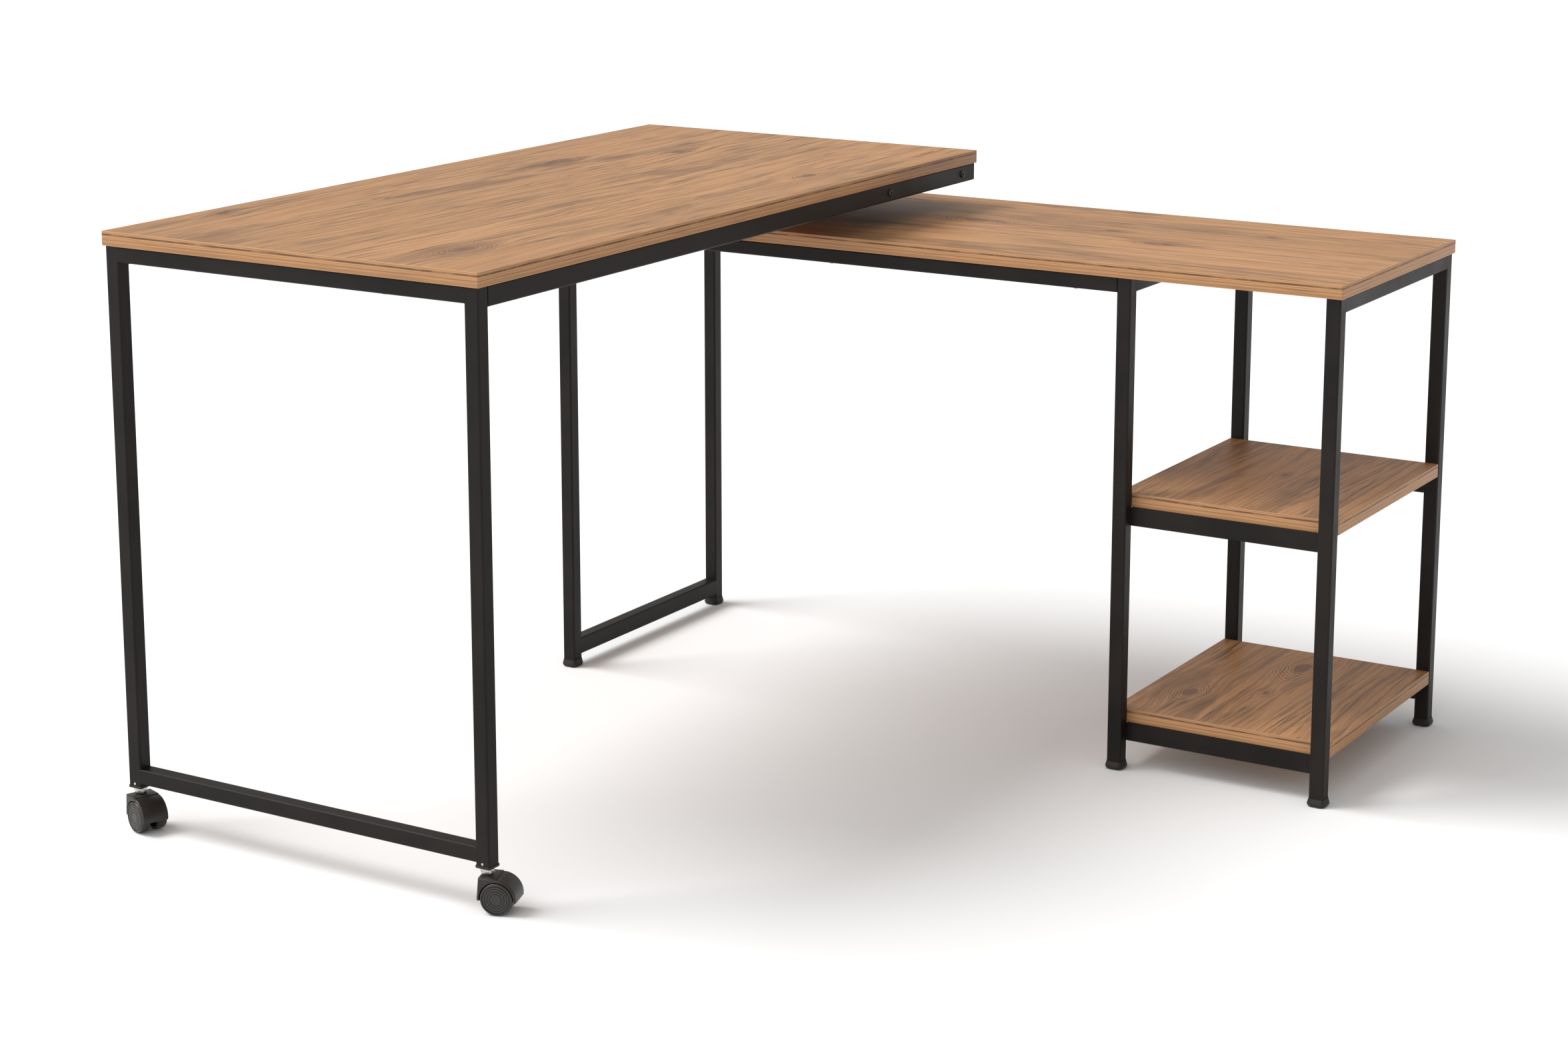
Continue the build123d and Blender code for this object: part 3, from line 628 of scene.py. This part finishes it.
def turned_mesh(name, rings, segments, place=None):
    """A closed shape turned about Z, from rings of (radius, height).

    "hex" or "cross" follows the height of a ring that isn't round. Radius 0 closes a pole.
    """
    work = bmesh.new()
    wrap = work.loops.layers.uv.new("turned")
    rows = []
    travel = [0.0]
    for before, after in zip(rings, rings[1:]):
        travel.append(travel[-1] + math.hypot(after[0] - before[0], after[1] - before[1]))
    for radius, height, *outline in rings:
        if radius == 0:
            rows.append([work.verts.new((0, 0, height))])
            continue
        row = []
        for step in range(segments):
            angle = math.tau * step / segments
            reach = outline_radius(outline, radius, angle)
            row.append(work.verts.new((reach * math.cos(angle), reach * math.sin(angle), height)))
        rows.append(row)
    for low in range(len(rows) - 1):
        high = low + 1
        a, b = rows[low], rows[high]
        for step in range(segments):
            after = (step + 1) % segments
            corners = [(a[step % len(a)], step, low), (a[after % len(a)], step + 1, low)]
            corners += [(b[after % len(b)], step + 1, high), (b[step % len(b)], step, high)]
            seen = []
            for corner in corners:
                if corner[0] not in [c[0] for c in seen]:
                    seen.append(corner)
            face = work.faces.new([corner[0] for corner in seen])
            for loop, corner in zip(face.loops, seen):
                loop[wrap].uv = (corner[1] / segments, travel[corner[2]])
    return smooth_shade(finished_mesh(work, name, place))


def softened_mesh(node, width):
    """A CAD node's own shape, merged and tidied, with its sharp edges rounded."""
    source = NODES[node].data
    mesh = bpy.data.meshes.new(node + "_soft")
    mesh.from_pydata([v.co for v in source.vertices], [], [p.vertices[:] for p in source.polygons])
    work = bmesh.new()
    work.from_mesh(mesh)
    bmesh.ops.remove_doubles(work, verts=work.verts, dist=MERGE)
    limit = math.radians(FLAT_ANGLE)
    bmesh.ops.dissolve_limit(work, angle_limit=limit, verts=work.verts, edges=work.edges)
    work.to_mesh(mesh)
    work.free()
    helper = linked_object(node + "_helper", mesh)
    bevel = helper.modifiers.new("soft", "BEVEL")
    bevel.width = width
    bevel.segments = BEVEL_SEGMENTS
    bevel.limit_method = "ANGLE"
    bevel.angle_limit = math.radians(BEVEL_ANGLE)
    bevel.use_clamp_overlap = True
    plain = evaluated_mesh(helper, node + "_finished")
    bpy.data.objects.remove(helper)
    return smooth_shade(plain)


def evaluated_mesh(thing, name):
    """What an object's modifiers make, as a plain mesh."""
    bpy.context.view_layer.update()
    live = bpy.context.evaluated_depsgraph_get()
    mesh = bpy.data.meshes.new_from_object(thing.evaluated_get(live))
    mesh.name = name
    return mesh


def joined_mesh(name, meshes):
    """Several meshes as one."""
    work = bmesh.new()
    for mesh in meshes:
        work.from_mesh(mesh)
    whole = bpy.data.meshes.new(name)
    work.to_mesh(whole)
    work.free()
    return smooth_shade(whole)


# ---- repeats
def repeat_tree():
    """Geometry nodes that put one part at many places, each turned its own way."""
    found = bpy.data.node_groups.get("repeat_part")
    if found:
        return found
    tree = bpy.data.node_groups.new("repeat_part", "GeometryNodeTree")
    inputs = {"Places": "Geometry", "Part": "Object", "Size": "Float", "Finish": "Material"}
    for name, kind in inputs.items():
        tree.interface.new_socket(name, in_out="INPUT", socket_type="NodeSocket" + kind)
    tree.interface.new_socket("Parts", in_out="OUTPUT", socket_type="NodeSocketGeometry")
    entry = tree.nodes.new("NodeGroupInput")
    way_out = tree.nodes.new("NodeGroupOutput")
    part = tree.nodes.new("GeometryNodeObjectInfo")
    turn = tree.nodes.new("GeometryNodeInputNamedAttribute")
    turn.data_type = "FLOAT_VECTOR"
    turn.inputs["Name"].default_value = "turn"
    rotation = tree.nodes.new("FunctionNodeEulerToRotation")
    spots = tree.nodes.new("GeometryNodeInstanceOnPoints")
    real = tree.nodes.new("GeometryNodeRealizeInstances")
    coat = tree.nodes.new("GeometryNodeSetMaterial")
    joins = (
        (entry, "Places", spots, "Points"),
        (entry, "Part", part, "Object"),
        (part, "Geometry", spots, "Instance"),
        (turn, "Attribute", rotation, 0),
        (rotation, 0, spots, "Rotation"),
        (entry, "Size", spots, "Scale"),
        (spots, "Instances", real, "Geometry"),
        (real, "Geometry", coat, "Geometry"),
        (entry, "Finish", coat, "Material"),
        (coat, "Geometry", way_out, "Parts"),
    )
    for source, leaves, target, enters in joins:
        tree.links.new(source.outputs[leaves], target.inputs[enters])
    return tree


def repeated_mesh(name, part_mesh, places, material):
    """Put part_mesh at each (point, turn matrix) and return one plain mesh."""
    prototype = linked_object(name + "_prototype", part_mesh)
    spots = bpy.data.meshes.new(name + "_places")
    spots.from_pydata([point for point, _ in places], [], [])
    turns = spots.attributes.new("turn", "FLOAT_VECTOR", "POINT")
    for row, (_, turn) in zip(turns.data, places):
        row.vector = turn.to_euler()
    carrier = linked_object(name + "_carrier", spots)
    repeat = carrier.modifiers.new("repeat", "NODES")
    repeat.node_group = repeat_tree()
    values = {"Part": prototype, "Size": 1.0, "Finish": material}
    for socket in repeat.node_group.interface.items_tree:
        if socket.name in values and socket.in_out == "INPUT":
            repeat[socket.identifier] = values[socket.name]
    mesh = evaluated_mesh(carrier, name)
    bpy.data.objects.remove(carrier)
    bpy.data.objects.remove(prototype)
    return mesh


def facing(direction):
    """Turns local Z to a direction."""
    return Vector(direction).to_track_quat("Z", "Y").to_matrix()


# ---- boards
def rounded_outline(low, high, radius, steps=6):
    """Points and outward directions round a board, anticlockwise from above."""
    corners = (
        (high.x - radius, high.y - radius, 0),
        (low.x + radius, high.y - radius, 1),
        (low.x + radius, low.y + radius, 2),
        (high.x - radius, low.y + radius, 3),
    )
    outline = []
    for x, y, quarter in corners:
        for step in range(steps + 1):
            angle = QUARTER_TURN * (quarter + step / steps)
            out = Vector((math.cos(angle), math.sin(angle), 0))
            outline.append((Vector((x, y, 0)) + out * radius, out))
    return outline


def band_mesh(name, boxes, boards):
    """Edge bands with scraped long edges, one ring for each board."""
    work = bmesh.new()
    wrap = work.loops.layers.uv.new("band")
    soft = boards.soft_edge
    arc = quarter_arc(4)
    for low, high in boxes:
        height = high.z - low.z
        profile = [(-boards.band, 0.0)]
        profile += [(-soft + soft * sine, soft - soft * cosine) for cosine, sine in arc]
        profile += [(-soft + soft * cosine, height - soft + soft * sine) for cosine, sine in arc]
        profile.append((-boards.band, height))
        outline = rounded_outline(low, high, boards.corner)
        rows = []
        for point, out in outline:
            spots = [point + out * shift + UP * (low.z + lift) for shift, lift in profile]
            rows.append([work.verts.new(spot) for spot in spots])
        travel = [0.0]
        for (before, _), (after, _) in zip(outline, outline[1:] + outline[:1]):
            travel.append(travel[-1] + (after - before).length)
        for index, row in enumerate(rows):
            beyond = rows[(index + 1) % len(rows)]
            for step in range(len(profile)):
                up_step = (step + 1) % len(profile)
                face = work.faces.new((row[step], beyond[step], beyond[up_step], row[up_step]))
                marks = ((index, step), (index + 1, step), (index + 1, up_step), (index, up_step))
                for loop, (u, v) in zip(face.loops, marks):
                    loop[wrap].uv = (travel[u], profile[v][1])
    return smooth_shade(finished_mesh(work, name))


def knots_from(end, *rows):
    """Knots from rows of: run from the board's end, edge, distance from the edge, and size."""
    return [((end + run, edge + across), size) for run, edge, across, size in rows]


class DESK_OT_boards(bpy.types.Operator):
    """Prints the boards and puts their edge bands on"""

    bl_idname = "desk.boards"
    bl_label = "Boards"

    def execute(self, context):
        boards = context.scene.desk_boards
        for node, along_y, seed, knots in self.prints():
            paint(node, laminate(node + "_print", along_y, seed, knots))
        low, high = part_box("swing_top_edging")
        material = edge_band_finish(high.z - low.z)
        for node in ("swing_top_edging", "fixed_top_edging", "shelf_edging"):
            name = node + "_band"
            stand_in(node, name, band_mesh(name, solids_of(node), boards), material)
        return {"FINISHED"}

    def prints(self):
        """Each board's grain direction, seed and knots."""
        swing_low, swing_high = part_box("swing_top")
        fixed_low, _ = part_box("fixed_top")
        shelf_low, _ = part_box("middle_shelf")
        left, right, front, side = swing_low.x, swing_high.x, fixed_low.y, shelf_low.x
        swing = knots_from(
            swing_low.y,
            (0.120, right, -0.110, 0.0125),
            (0.180, left, 0.035, 0.0080),
            (0.800, left, 0.125, 0.0090),
            (0.960, left, 0.210, 0.0110),
            (0.850, right, -0.075, 0.0100),
            (0.390, left, 0.130, 0.0045),
        )
        fixed = knots_from(
            fixed_low.x,
            (0.566, front, 0.228, 0.0130),
            (0.860, front, 0.170, 0.0075),
            (0.770, front, 0.240, 0.0070),
            (0.980, front, 0.300, 0.0050),
        )
        middle = knots_from(shelf_low.y, (0.200, side, 0.150, 0.0050))
        bottom = knots_from(
            shelf_low.y,
            (0.290, side, 0.150, 0.0140),
            (0.110, side, 0.060, 0.0120),
            (0.160, side, 0.150, 0.0045),
        )
        return (
            ("swing_top", True, 2.0, swing),
            ("fixed_top", False, 17.0, fixed),
            ("middle_shelf", True, 31.0, middle),
            ("bottom_shelf", True, 47.0, bottom),
        )


# ---- steel frames
def weld_filler(height, corner, swell):
    """Ground weld in the groove between a leg's rounded edge and a rail's flush end.

    X runs from the leg to the rail, Y out of the flush face and Z up the rail.
    """
    outline = [(-1.3 * corner, -0.02 * corner)]
    outline += [(-0.8 * corner, 0.6 * swell), (-0.3 * corner, swell), (0.15 * corner, 0.8 * swell)]
    outline += [(0.5 * corner, -0.02 * corner), (0.2 * corner, -0.5 * corner), (0.0, -corner)]
    arc = quarter_arc(7, 1, 6)
    outline += [(corner * (cosine - 1), corner * (sine - 1)) for cosine, sine in arc]
    outline.append((-corner, -0.1 * corner))
    ends = ((-0.5, -0.35), (-0.46, 0.0), (0.46, 0.0), (0.5, -0.35))
    rows = [
        [(x, y + sink * corner * (y > -0.3 * corner), share * height) for x, y in outline]
        for share, sink in ends
    ]
    return smooth_shade(lofted_mesh("weld_filler", rows))


def weld_places(rail, axis):
    """Points and turns of the four ground welds of a rail that runs along an axis."""
    low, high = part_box(rail)
    across = 1 - axis
    places = []
    for end, way in ((low, 1), (high, -1)):
        for face, out in ((low, -1), (high, 1)):
            point = Vector((0, 0, (low.z + high.z) / 2))
            point[axis] = end[axis]
            point[across] = face[across]
            along = Vector((0, 0, 0))
            along[axis] = way
            outward = Vector((0, 0, 0))
            outward[across] = out
            turn = Matrix((along, outward, along.cross(outward))).transposed()
            places.append((point, turn))
    return places, high.z - low.z


class DESK_OT_frames(bpy.types.Operator):
    """Coats the steel frames and grinds their welds"""

    bl_idname = "desk.frames"
    bl_label = "Steel frames"

    def execute(self, context):
        coat = material_for("powder_coat")
        for node, slot in SLOT_OF.items():
            if slot in ("powder_coat", "zinc_steel", "bearing_nylon", "black_plastic"):
                paint(node, material_for(slot))
        swing_rails = ("swing_frame_top_rail", "swing_frame_bottom_rail")
        fixed_rails = (
            "fixed_left_top_rail", "fixed_left_bottom_rail",
            "tower_top_rail_inner", "tower_top_rail_outer",
        )
        frames = (
            ("swing_frame_welds", "swing_desk", swing_rails, 0),
            ("fixed_frame_welds", "fixed_desk", fixed_rails, 1),
        )
        settings = context.scene.desk_frame
        corner = settings.tube_corner
        for name, body, rails, axis in frames:
            meshes = []
            for rail in rails:
                places, height = weld_places(rail, axis)
                filler = weld_filler(height - corner, corner, settings.weld_swell)
                meshes.append(repeated_mesh(f"{rail}_welds", filler, places, coat))
            place_piece(name, joined_mesh(name, meshes), coat, body)
        return {"FINISHED"}


# ---- fasteners
def pan_head_screw(head_radius, head_height, shank_radius, shank_length):
    """Wood screw with a cross recess; Z runs from the board out to the driver, seat at 0."""
    point = -shank_length
    rings = [(0.0, point), (0.35 * shank_radius, point + 0.4 * shank_radius)]
    pitch = 0.9 * shank_radius
    thread = int(0.7 * shank_length / pitch)
    for turn in range(1, thread):
        level = point + turn * pitch + pitch
        rings += [(0.78 * shank_radius, level - 0.35 * pitch), (shank_radius, level)]
    rings += [(0.8 * shank_radius, point + (thread + 1.5) * pitch), (0.8 * shank_radius, 0.0)]
    rings += [(0.92 * head_radius, 0.0), (head_radius, 0.25 * head_height)]
    rings += [(0.9 * head_radius, 0.68 * head_height), (0.72 * head_radius, 0.92 * head_height)]
    rings += [(0.6 * head_radius, head_height), (0.5 * head_radius, head_height, "cross")]
    rings += [(0.38 * head_radius, 0.35 * head_height, "cross"), (0.0, 0.25 * head_height)]
    return turned_mesh("pan_head_screw", rings, 32)


def socket_head_bolt(head_radius, head_height, shank_radius, shank_length):
    """Button-head bolt with a hex socket; Z runs out to the key, seat at 0."""
    point = -shank_length
    rings = [(0.0, point), (0.8 * shank_radius, point)]
    rings += [(shank_radius, point + 0.2 * shank_radius), (shank_radius, 0.0)]
    for cosine, sine in quarter_arc(6, last=5):
        rings.append((head_radius * (0.55 + 0.45 * cosine), head_height * sine))
    rings += [(0.5 * head_radius, head_height), (0.36 * head_radius, 0.97 * head_height, "hex")]
    rings += [(0.34 * head_radius, 0.35 * head_height, "hex"), (0.0, 0.3 * head_height)]
    return turned_mesh("socket_head_bolt", rings, 48)


def black_zinc():
    """Blackened steel, a little worn where it stands proud."""
    finish = Finish("black_zinc")
    cloud = finish.noise(finish.place(), 400.0, 3.0)
    tone = finish.mix(finish.spread(cloud, 0.45, 0.75), (0.035, 0.031, 0.028), (0.16, 0.145, 0.13))
    roughness = finish.spread(cloud, 0.3, 0.7, 0.32, 0.46)
    return finish.set(Base_Color=tone, Roughness=roughness, Metallic=0.85)


def fastener_piece(node, maker, axis, metal, seat_side):
    """Replace a node of like fasteners; seat_side gives each one's outward sign from its box."""
    head_height, shank_radius = FASTENERS[node]
    across = 1 if axis == 0 else 0
    groups = {}
    for low, high in solids_of(node):
        length = round(high[axis] - low[axis], 5)
        groups.setdefault(length, []).append((low, high))
    meshes = []
    for length, boxes in sorted(groups.items()):
        first_low, first_high = boxes[0]
        head_radius = (first_high[across] - first_low[across]) / 2
        part = maker(head_radius, head_height, shank_radius, length - head_height)
        places = []
        for low, high in boxes:
            out = seat_side(low, high)
            point = (low + high) / 2
            point[axis] = (high[axis] - head_height) if out > 0 else (low[axis] + head_height)
            direction = Vector((0, 0, 0))
            direction[axis] = out
            places.append((point, facing(direction)))
        meshes.append(repeated_mesh(node + "_set", part, places, metal))
    name = node + "_made"
    stand_in(node, name, joined_mesh(name, meshes), metal)


class DESK_OT_fasteners(bpy.types.Operator):
    """Makes the screws, bolts and rivets"""

    bl_idname = "desk.fasteners"
    bl_label = "Fasteners"

    def execute(self, context):
        def below(low, high):
            return -1

        def above(low, high):
            return 1

        middle_x = sum(corner.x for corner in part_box("swing_top")) / 2

        def away_from_middle(low, high):
            return 1 if (low + high).x / 2 > middle_x else -1

        zinc = material_for("zinc_steel")
        rows = (
            ("swing_top_screws", pan_head_screw, 2, zinc, below),
            ("fixed_wood_screws", pan_head_screw, 2, zinc, below),
            ("pivot_base_screws", pan_head_screw, 2, zinc, above),
            ("pivot_plate_bolts", socket_head_bolt, 2, zinc, below),
            ("swing_cross_rail_bolts", socket_head_bolt, 0, black_zinc(), away_from_middle),
        )
        for row in rows:
            fastener_piece(*row)
        self.rivets(zinc)
        return {"FINISHED"}

    def rivets(self, zinc):
        """A domed rivet in the front face of each leg."""
        node = "swing_plug_rivets"
        boxes = solids_of(node)
        low, high = boxes[-1]
        radius, height = (high.x - low.x) / 2, high.y - low.y
        rings = [(0.0, 0.0)]
        rings += [(radius * cosine, height * sine) for cosine, sine in quarter_arc(7, last=6)]
        rings.append((0.0, height))
        rivet = turned_mesh("rivet", rings, 24)
        places = []
        for low, high in boxes:
            point = (low + high) / 2
            point.y = high.y
            places.append((point, facing((0, -1, 0))))
        mesh = smooth_shade(repeated_mesh("leg_rivets", rivet, places, zinc))
        stand_in(node, "leg_rivets", mesh, zinc)


# ---- casters
def extent_along(node, origin, direction):
    """How far a CAD node reaches from a point, back and forth along a direction."""
    reaches = [(v.co - origin).dot(direction) for v in NODES[node].data.vertices]
    return min(reaches), max(reaches)


def wheel_mesh(name, node, origin, outward, depth):
    """Moulded wheel: ringed outer face, rounded tread, hollow back and a blind axle bore."""
    inner, outer = extent_along(node, origin, outward)
    low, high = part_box(node)
    radius = (high.z - low.z) / 2
    width = outer - inner
    edge = 0.11 * radius
    bore = 0.1525 * radius
    hub = 0.34 * radius
    web = 0.55 * width
    bore_end = 0.84 * width
    face, groove, rim_floor = (width - share * depth for share in (0.4, 1.6, 2.2))
    rings = [(0.0, face), (0.30 * radius, face)]
    for share in (0.34, 0.50, 0.66):
        rings += [(share * radius, face), ((share + 0.012) * radius, groove)]
        rings += [((share + 0.036) * radius, groove), ((share + 0.05) * radius, face)]
    rings += [(0.80 * radius, face), (0.82 * radius, rim_floor)]
    rings += [(0.855 * radius, rim_floor), (0.87 * radius, width)]
    for cosine, sine in quarter_arc(5):
        rings.append((radius - edge + edge * sine, width - edge + edge * cosine))
    half = edge / 2
    for cosine, sine in quarter_arc(4):
        rings.append((radius - half + half * cosine, half - half * sine))
    rings += [(0.84 * radius, 0.0), (0.80 * radius, web), (hub, web), (0.92 * hub, 0.0)]
    rings += [(bore, 0.0), (bore, bore_end), (0.0, bore_end)]
    place = Matrix.Translation(origin + outward * inner) @ facing(outward).to_4x4()
    return turned_mesh(name, rings, 96, place)


class DESK_OT_casters(bpy.types.Operator):
    """Makes the wheels, hoods, stems and leg plugs"""

    bl_idname = "desk.casters"
    bl_label = "Casters"

    def execute(self, context):
        depth = context.scene.desk_casters.ring_depth
        nylon = material_for("caster_nylon")
        moulding = material_for("caster_plastic")
        zinc = material_for("zinc_steel")
        for side in SIDES:
            for place, way in zip(WHEEL_PLACES, (-1, 1)):
                node = f"{side}_caster_wheel_{place}"
                joint = JOINTS[BODY_OF[node]]
                origin = Vector(joint["pos_m"])
                outward = Vector(joint["axis"]).normalized() * way
                name = node + "_turned"
                stand_in(node, name, wheel_mesh(name, node, origin, outward, depth), nylon)
            hood = f"{side}_caster_hood"
            stand_in(hood, hood + "_moulded", softened_mesh(hood, HOOD_EDGE), moulding)
            paint(f"{side}_caster_axle", zinc)
            self.stem(side, zinc)
        node = "swing_leg_plugs"
        plugs = softened_mesh(node, PLUG_EDGE)
        stand_in(node, "leg_plugs", plugs, material_for("black_plastic"))
        return {"FINISHED"}

    def stem(self, side, zinc):
        """Pin, chamfered hex collar and threaded end, turned as one piece."""
        node = f"{side}_caster_stem"
        low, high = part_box(node)
        collar_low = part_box(f"{side}_caster_hood")[1].z + COLLAR_GAP
        collar_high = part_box("swing_leg_plugs")[0].z
        flats = (high.y - low.y) / 2
        reach = flats * COLLAR_FLATS
        chamfer = 0.12 * (collar_high - collar_low)
        rings = [(0.0, low.z), (0.85 * PIN_RADIUS, low.z), (PIN_RADIUS, low.z + PIN_CHAMFER)]
        rings += [(PIN_RADIUS, collar_low), (0.97 * flats, collar_low)]
        rings += [(reach, collar_low + chamfer, "hex"), (reach, collar_high - chamfer, "hex")]
        rings += [(0.97 * flats, collar_high), (THREAD_RADIUS, collar_high)]
        pitch = (high.z - collar_high) / THREAD_TURNS
        for turn in range(THREAD_TURNS):
            level = collar_high + turn * pitch
            rings += [(THREAD_ROOT, level + 0.45 * pitch), (THREAD_RADIUS, level + 0.95 * pitch)]
        rings.append((0.0, high.z))
        middle = (low + high) / 2
        place = Matrix.Translation((middle.x, middle.y, 0))
        name = node + "_turned"
        stand_in(node, name, turned_mesh(name, rings, 72, place), zinc)


# ---- feet, caps and pivot
def flared_foot(size):
    """Foot that flares from a square sleeve round the tube to a rounded tread.

    Each row is its height as a share of the foot's, then its half width and corner radius as
    shares of the foot's half width.
    """
    half, tall = size.x / 2, size.z
    rows = (
        (0.0, 0.74, 0.52),
        (0.03, 0.84, 0.54),
        (0.12, 0.93, 0.56),
        (0.26, 0.99, 0.57),
        (0.40, 1.0, 0.56),
        (0.55, 0.975, 0.52),
        (0.70, 0.92, 0.44),
        (0.84, 0.87, 0.34),
        (0.95, 0.845, 0.28),
        (1.0, 0.825, 0.26),
        (1.0, 0.79, 0.22),
        (0.37, 0.79, 0.22),
    )
    outlines = []
    for level, reach, corner in rows:
        edge = Vector((reach * half, reach * half, 0))
        outline = rounded_outline(-edge, edge, corner * half, 8)
        outlines.append([point + UP * (level * tall) for point, _ in outline])
    return lofted_mesh("flared_foot", outlines)


class DESK_OT_small_parts(bpy.types.Operator):
    """Moulds the feet and caps, and breaks the edges of the pivot's parts"""

    bl_idname = "desk.small_parts"
    bl_label = "Feet, caps and pivot"

    def execute(self, context):
        for node, width in SOFTENED.items():
            mesh = softened_mesh(node, width)
            stand_in(node, node + "_made", mesh, material_for(SLOT_OF[node]))
        plastic = material_for("black_plastic")
        boxes = solids_of("feet")
        part = flared_foot(boxes[0][1] - boxes[0][0])
        places = []
        for low, high in boxes:
            middle = (low + high) / 2
            places.append((Vector((middle.x, middle.y, low.z)), Matrix.Identity(3)))
        feet = smooth_shade(repeated_mesh("flared_feet", part, places, plastic), FOOT_SHARP_ANGLE)
        stand_in("feet", "flared_feet", feet, plastic)
        return {"FINISHED"}


# ---- studio
def soft_light(name, source, strength, spread):
    """Broad light that falls everywhere from one direction."""
    light = bpy.data.lights.new(name, "SUN")
    light.energy = strength
    light.angle = spread
    lamp = linked_object(name, light)
    lamp.location = source
    lamp.rotation_euler = Vector(source).to_track_quat("Z", "Y").to_euler()


class DESK_OT_stage(bpy.types.Operator):
    """Sets the floor, the soft lights and the camera"""

    bl_idname = "desk.stage"
    bl_label = "Studio"

    def execute(self, context):
        scene = context.scene
        stage = scene.desk_stage
        reach = FLOOR_REACH
        floor_mesh = bpy.data.meshes.new("studio_floor")
        corners = [(-reach, -reach, 0), (reach, -reach, 0), (reach, reach, 0), (-reach, reach, 0)]
        floor_mesh.from_pydata(corners, [], [(0, 1, 2, 3)])
        floor = linked_object("studio_floor", floor_mesh)
        paper = Finish("studio_paper")
        cloud = paper.noise(paper.place(), 1.5, 2.0)
        tone = paper.mix(cloud, (0.86, 0.86, 0.86), (0.90, 0.90, 0.90))
        matt = paper.set(Base_Color=tone, Roughness=0.85, Specular_IOR_Level=0.2)
        floor_mesh.materials.append(matt)

        world = bpy.data.worlds.new("studio_room")
        scene.world = world
        world.use_nodes = True
        tree = world.node_tree
        room = tree.nodes["Background"]
        room.inputs["Color"].default_value = (1.0, 1.0, 1.0, 1.0)
        # The room is white where it is seen, and dimmer where it only lights the desk
        seen = tree.nodes.new("ShaderNodeLightPath")
        strength = tree.nodes.new("ShaderNodeMapRange")
        strength.inputs["To Min"].default_value = stage.sky
        strength.inputs["To Max"].default_value = 1.0
        tree.links.new(seen.outputs["Is Camera Ray"], strength.inputs["Value"])
        tree.links.new(strength.outputs["Result"], room.inputs["Strength"])

        soft_light("key", KEY_FROM, stage.key, KEY_SPREAD)
        soft_light("fill", FILL_FROM, stage.fill, FILL_SPREAD)
        scene.view_settings.view_transform = "Standard"

        camera = bpy.data.cameras.new("camera")
        camera.sensor_width = SENSOR_WIDTH
        camera.lens = stage.lens
        camera.shift_y = stage.shift
        camera.clip_end = VIEW_REACH
        eye = linked_object("camera", camera)
        eye.location = stage.stand
        eye.rotation_euler = (QUARTER_TURN - stage.pitch, 0.0, stage.turn)
        scene.camera = eye
        return {"FINISHED"}


# ---- panel
OPERATORS = (
    DESK_OT_boards,
    DESK_OT_frames,
    DESK_OT_fasteners,
    DESK_OT_casters,
    DESK_OT_small_parts,
    DESK_OT_stage,
)
SETTINGS = {
    "desk_boards": DeskBoards,
    "desk_frame": DeskFrame,
    "desk_casters": DeskCasters,
    "desk_stage": DeskStage,
}


class DESK_PT_panel(bpy.types.Panel):
    """Lists the steps that finish the desk"""

    bl_idname = "DESK_PT_panel"
    bl_label = "Corner desk"
    bl_space_type = "VIEW_3D"
    bl_region_type = "UI"
    bl_category = "Desk"

    def draw(self, context):
        for operator in OPERATORS:
            self.layout.operator(operator.bl_idname)
        for name, group in SETTINGS.items():
            box = self.layout.box()
            for field in group.__annotations__:
                box.prop(getattr(context.scene, name), field)


def register():
    for group in SETTINGS.values():
        bpy.utils.register_class(group)
    for name, group in SETTINGS.items():
        setattr(bpy.types.Scene, name, bpy.props.PointerProperty(type=group))
    for operator in OPERATORS:
        bpy.utils.register_class(operator)
    bpy.utils.register_class(DESK_PT_panel)


def unregister():
    bpy.utils.unregister_class(DESK_PT_panel)
    for operator in reversed(OPERATORS):
        bpy.utils.unregister_class(operator)
    for name in SETTINGS:
        delattr(bpy.types.Scene, name)
    for group in SETTINGS.values():
        bpy.utils.unregister_class(group)


def main():
    register()
    bpy.ops.desk.boards()
    bpy.ops.desk.frames()
    bpy.ops.desk.fasteners()
    bpy.ops.desk.casters()
    bpy.ops.desk.small_parts()
    bpy.ops.desk.stage()


if __name__ == "__main__":
    main()
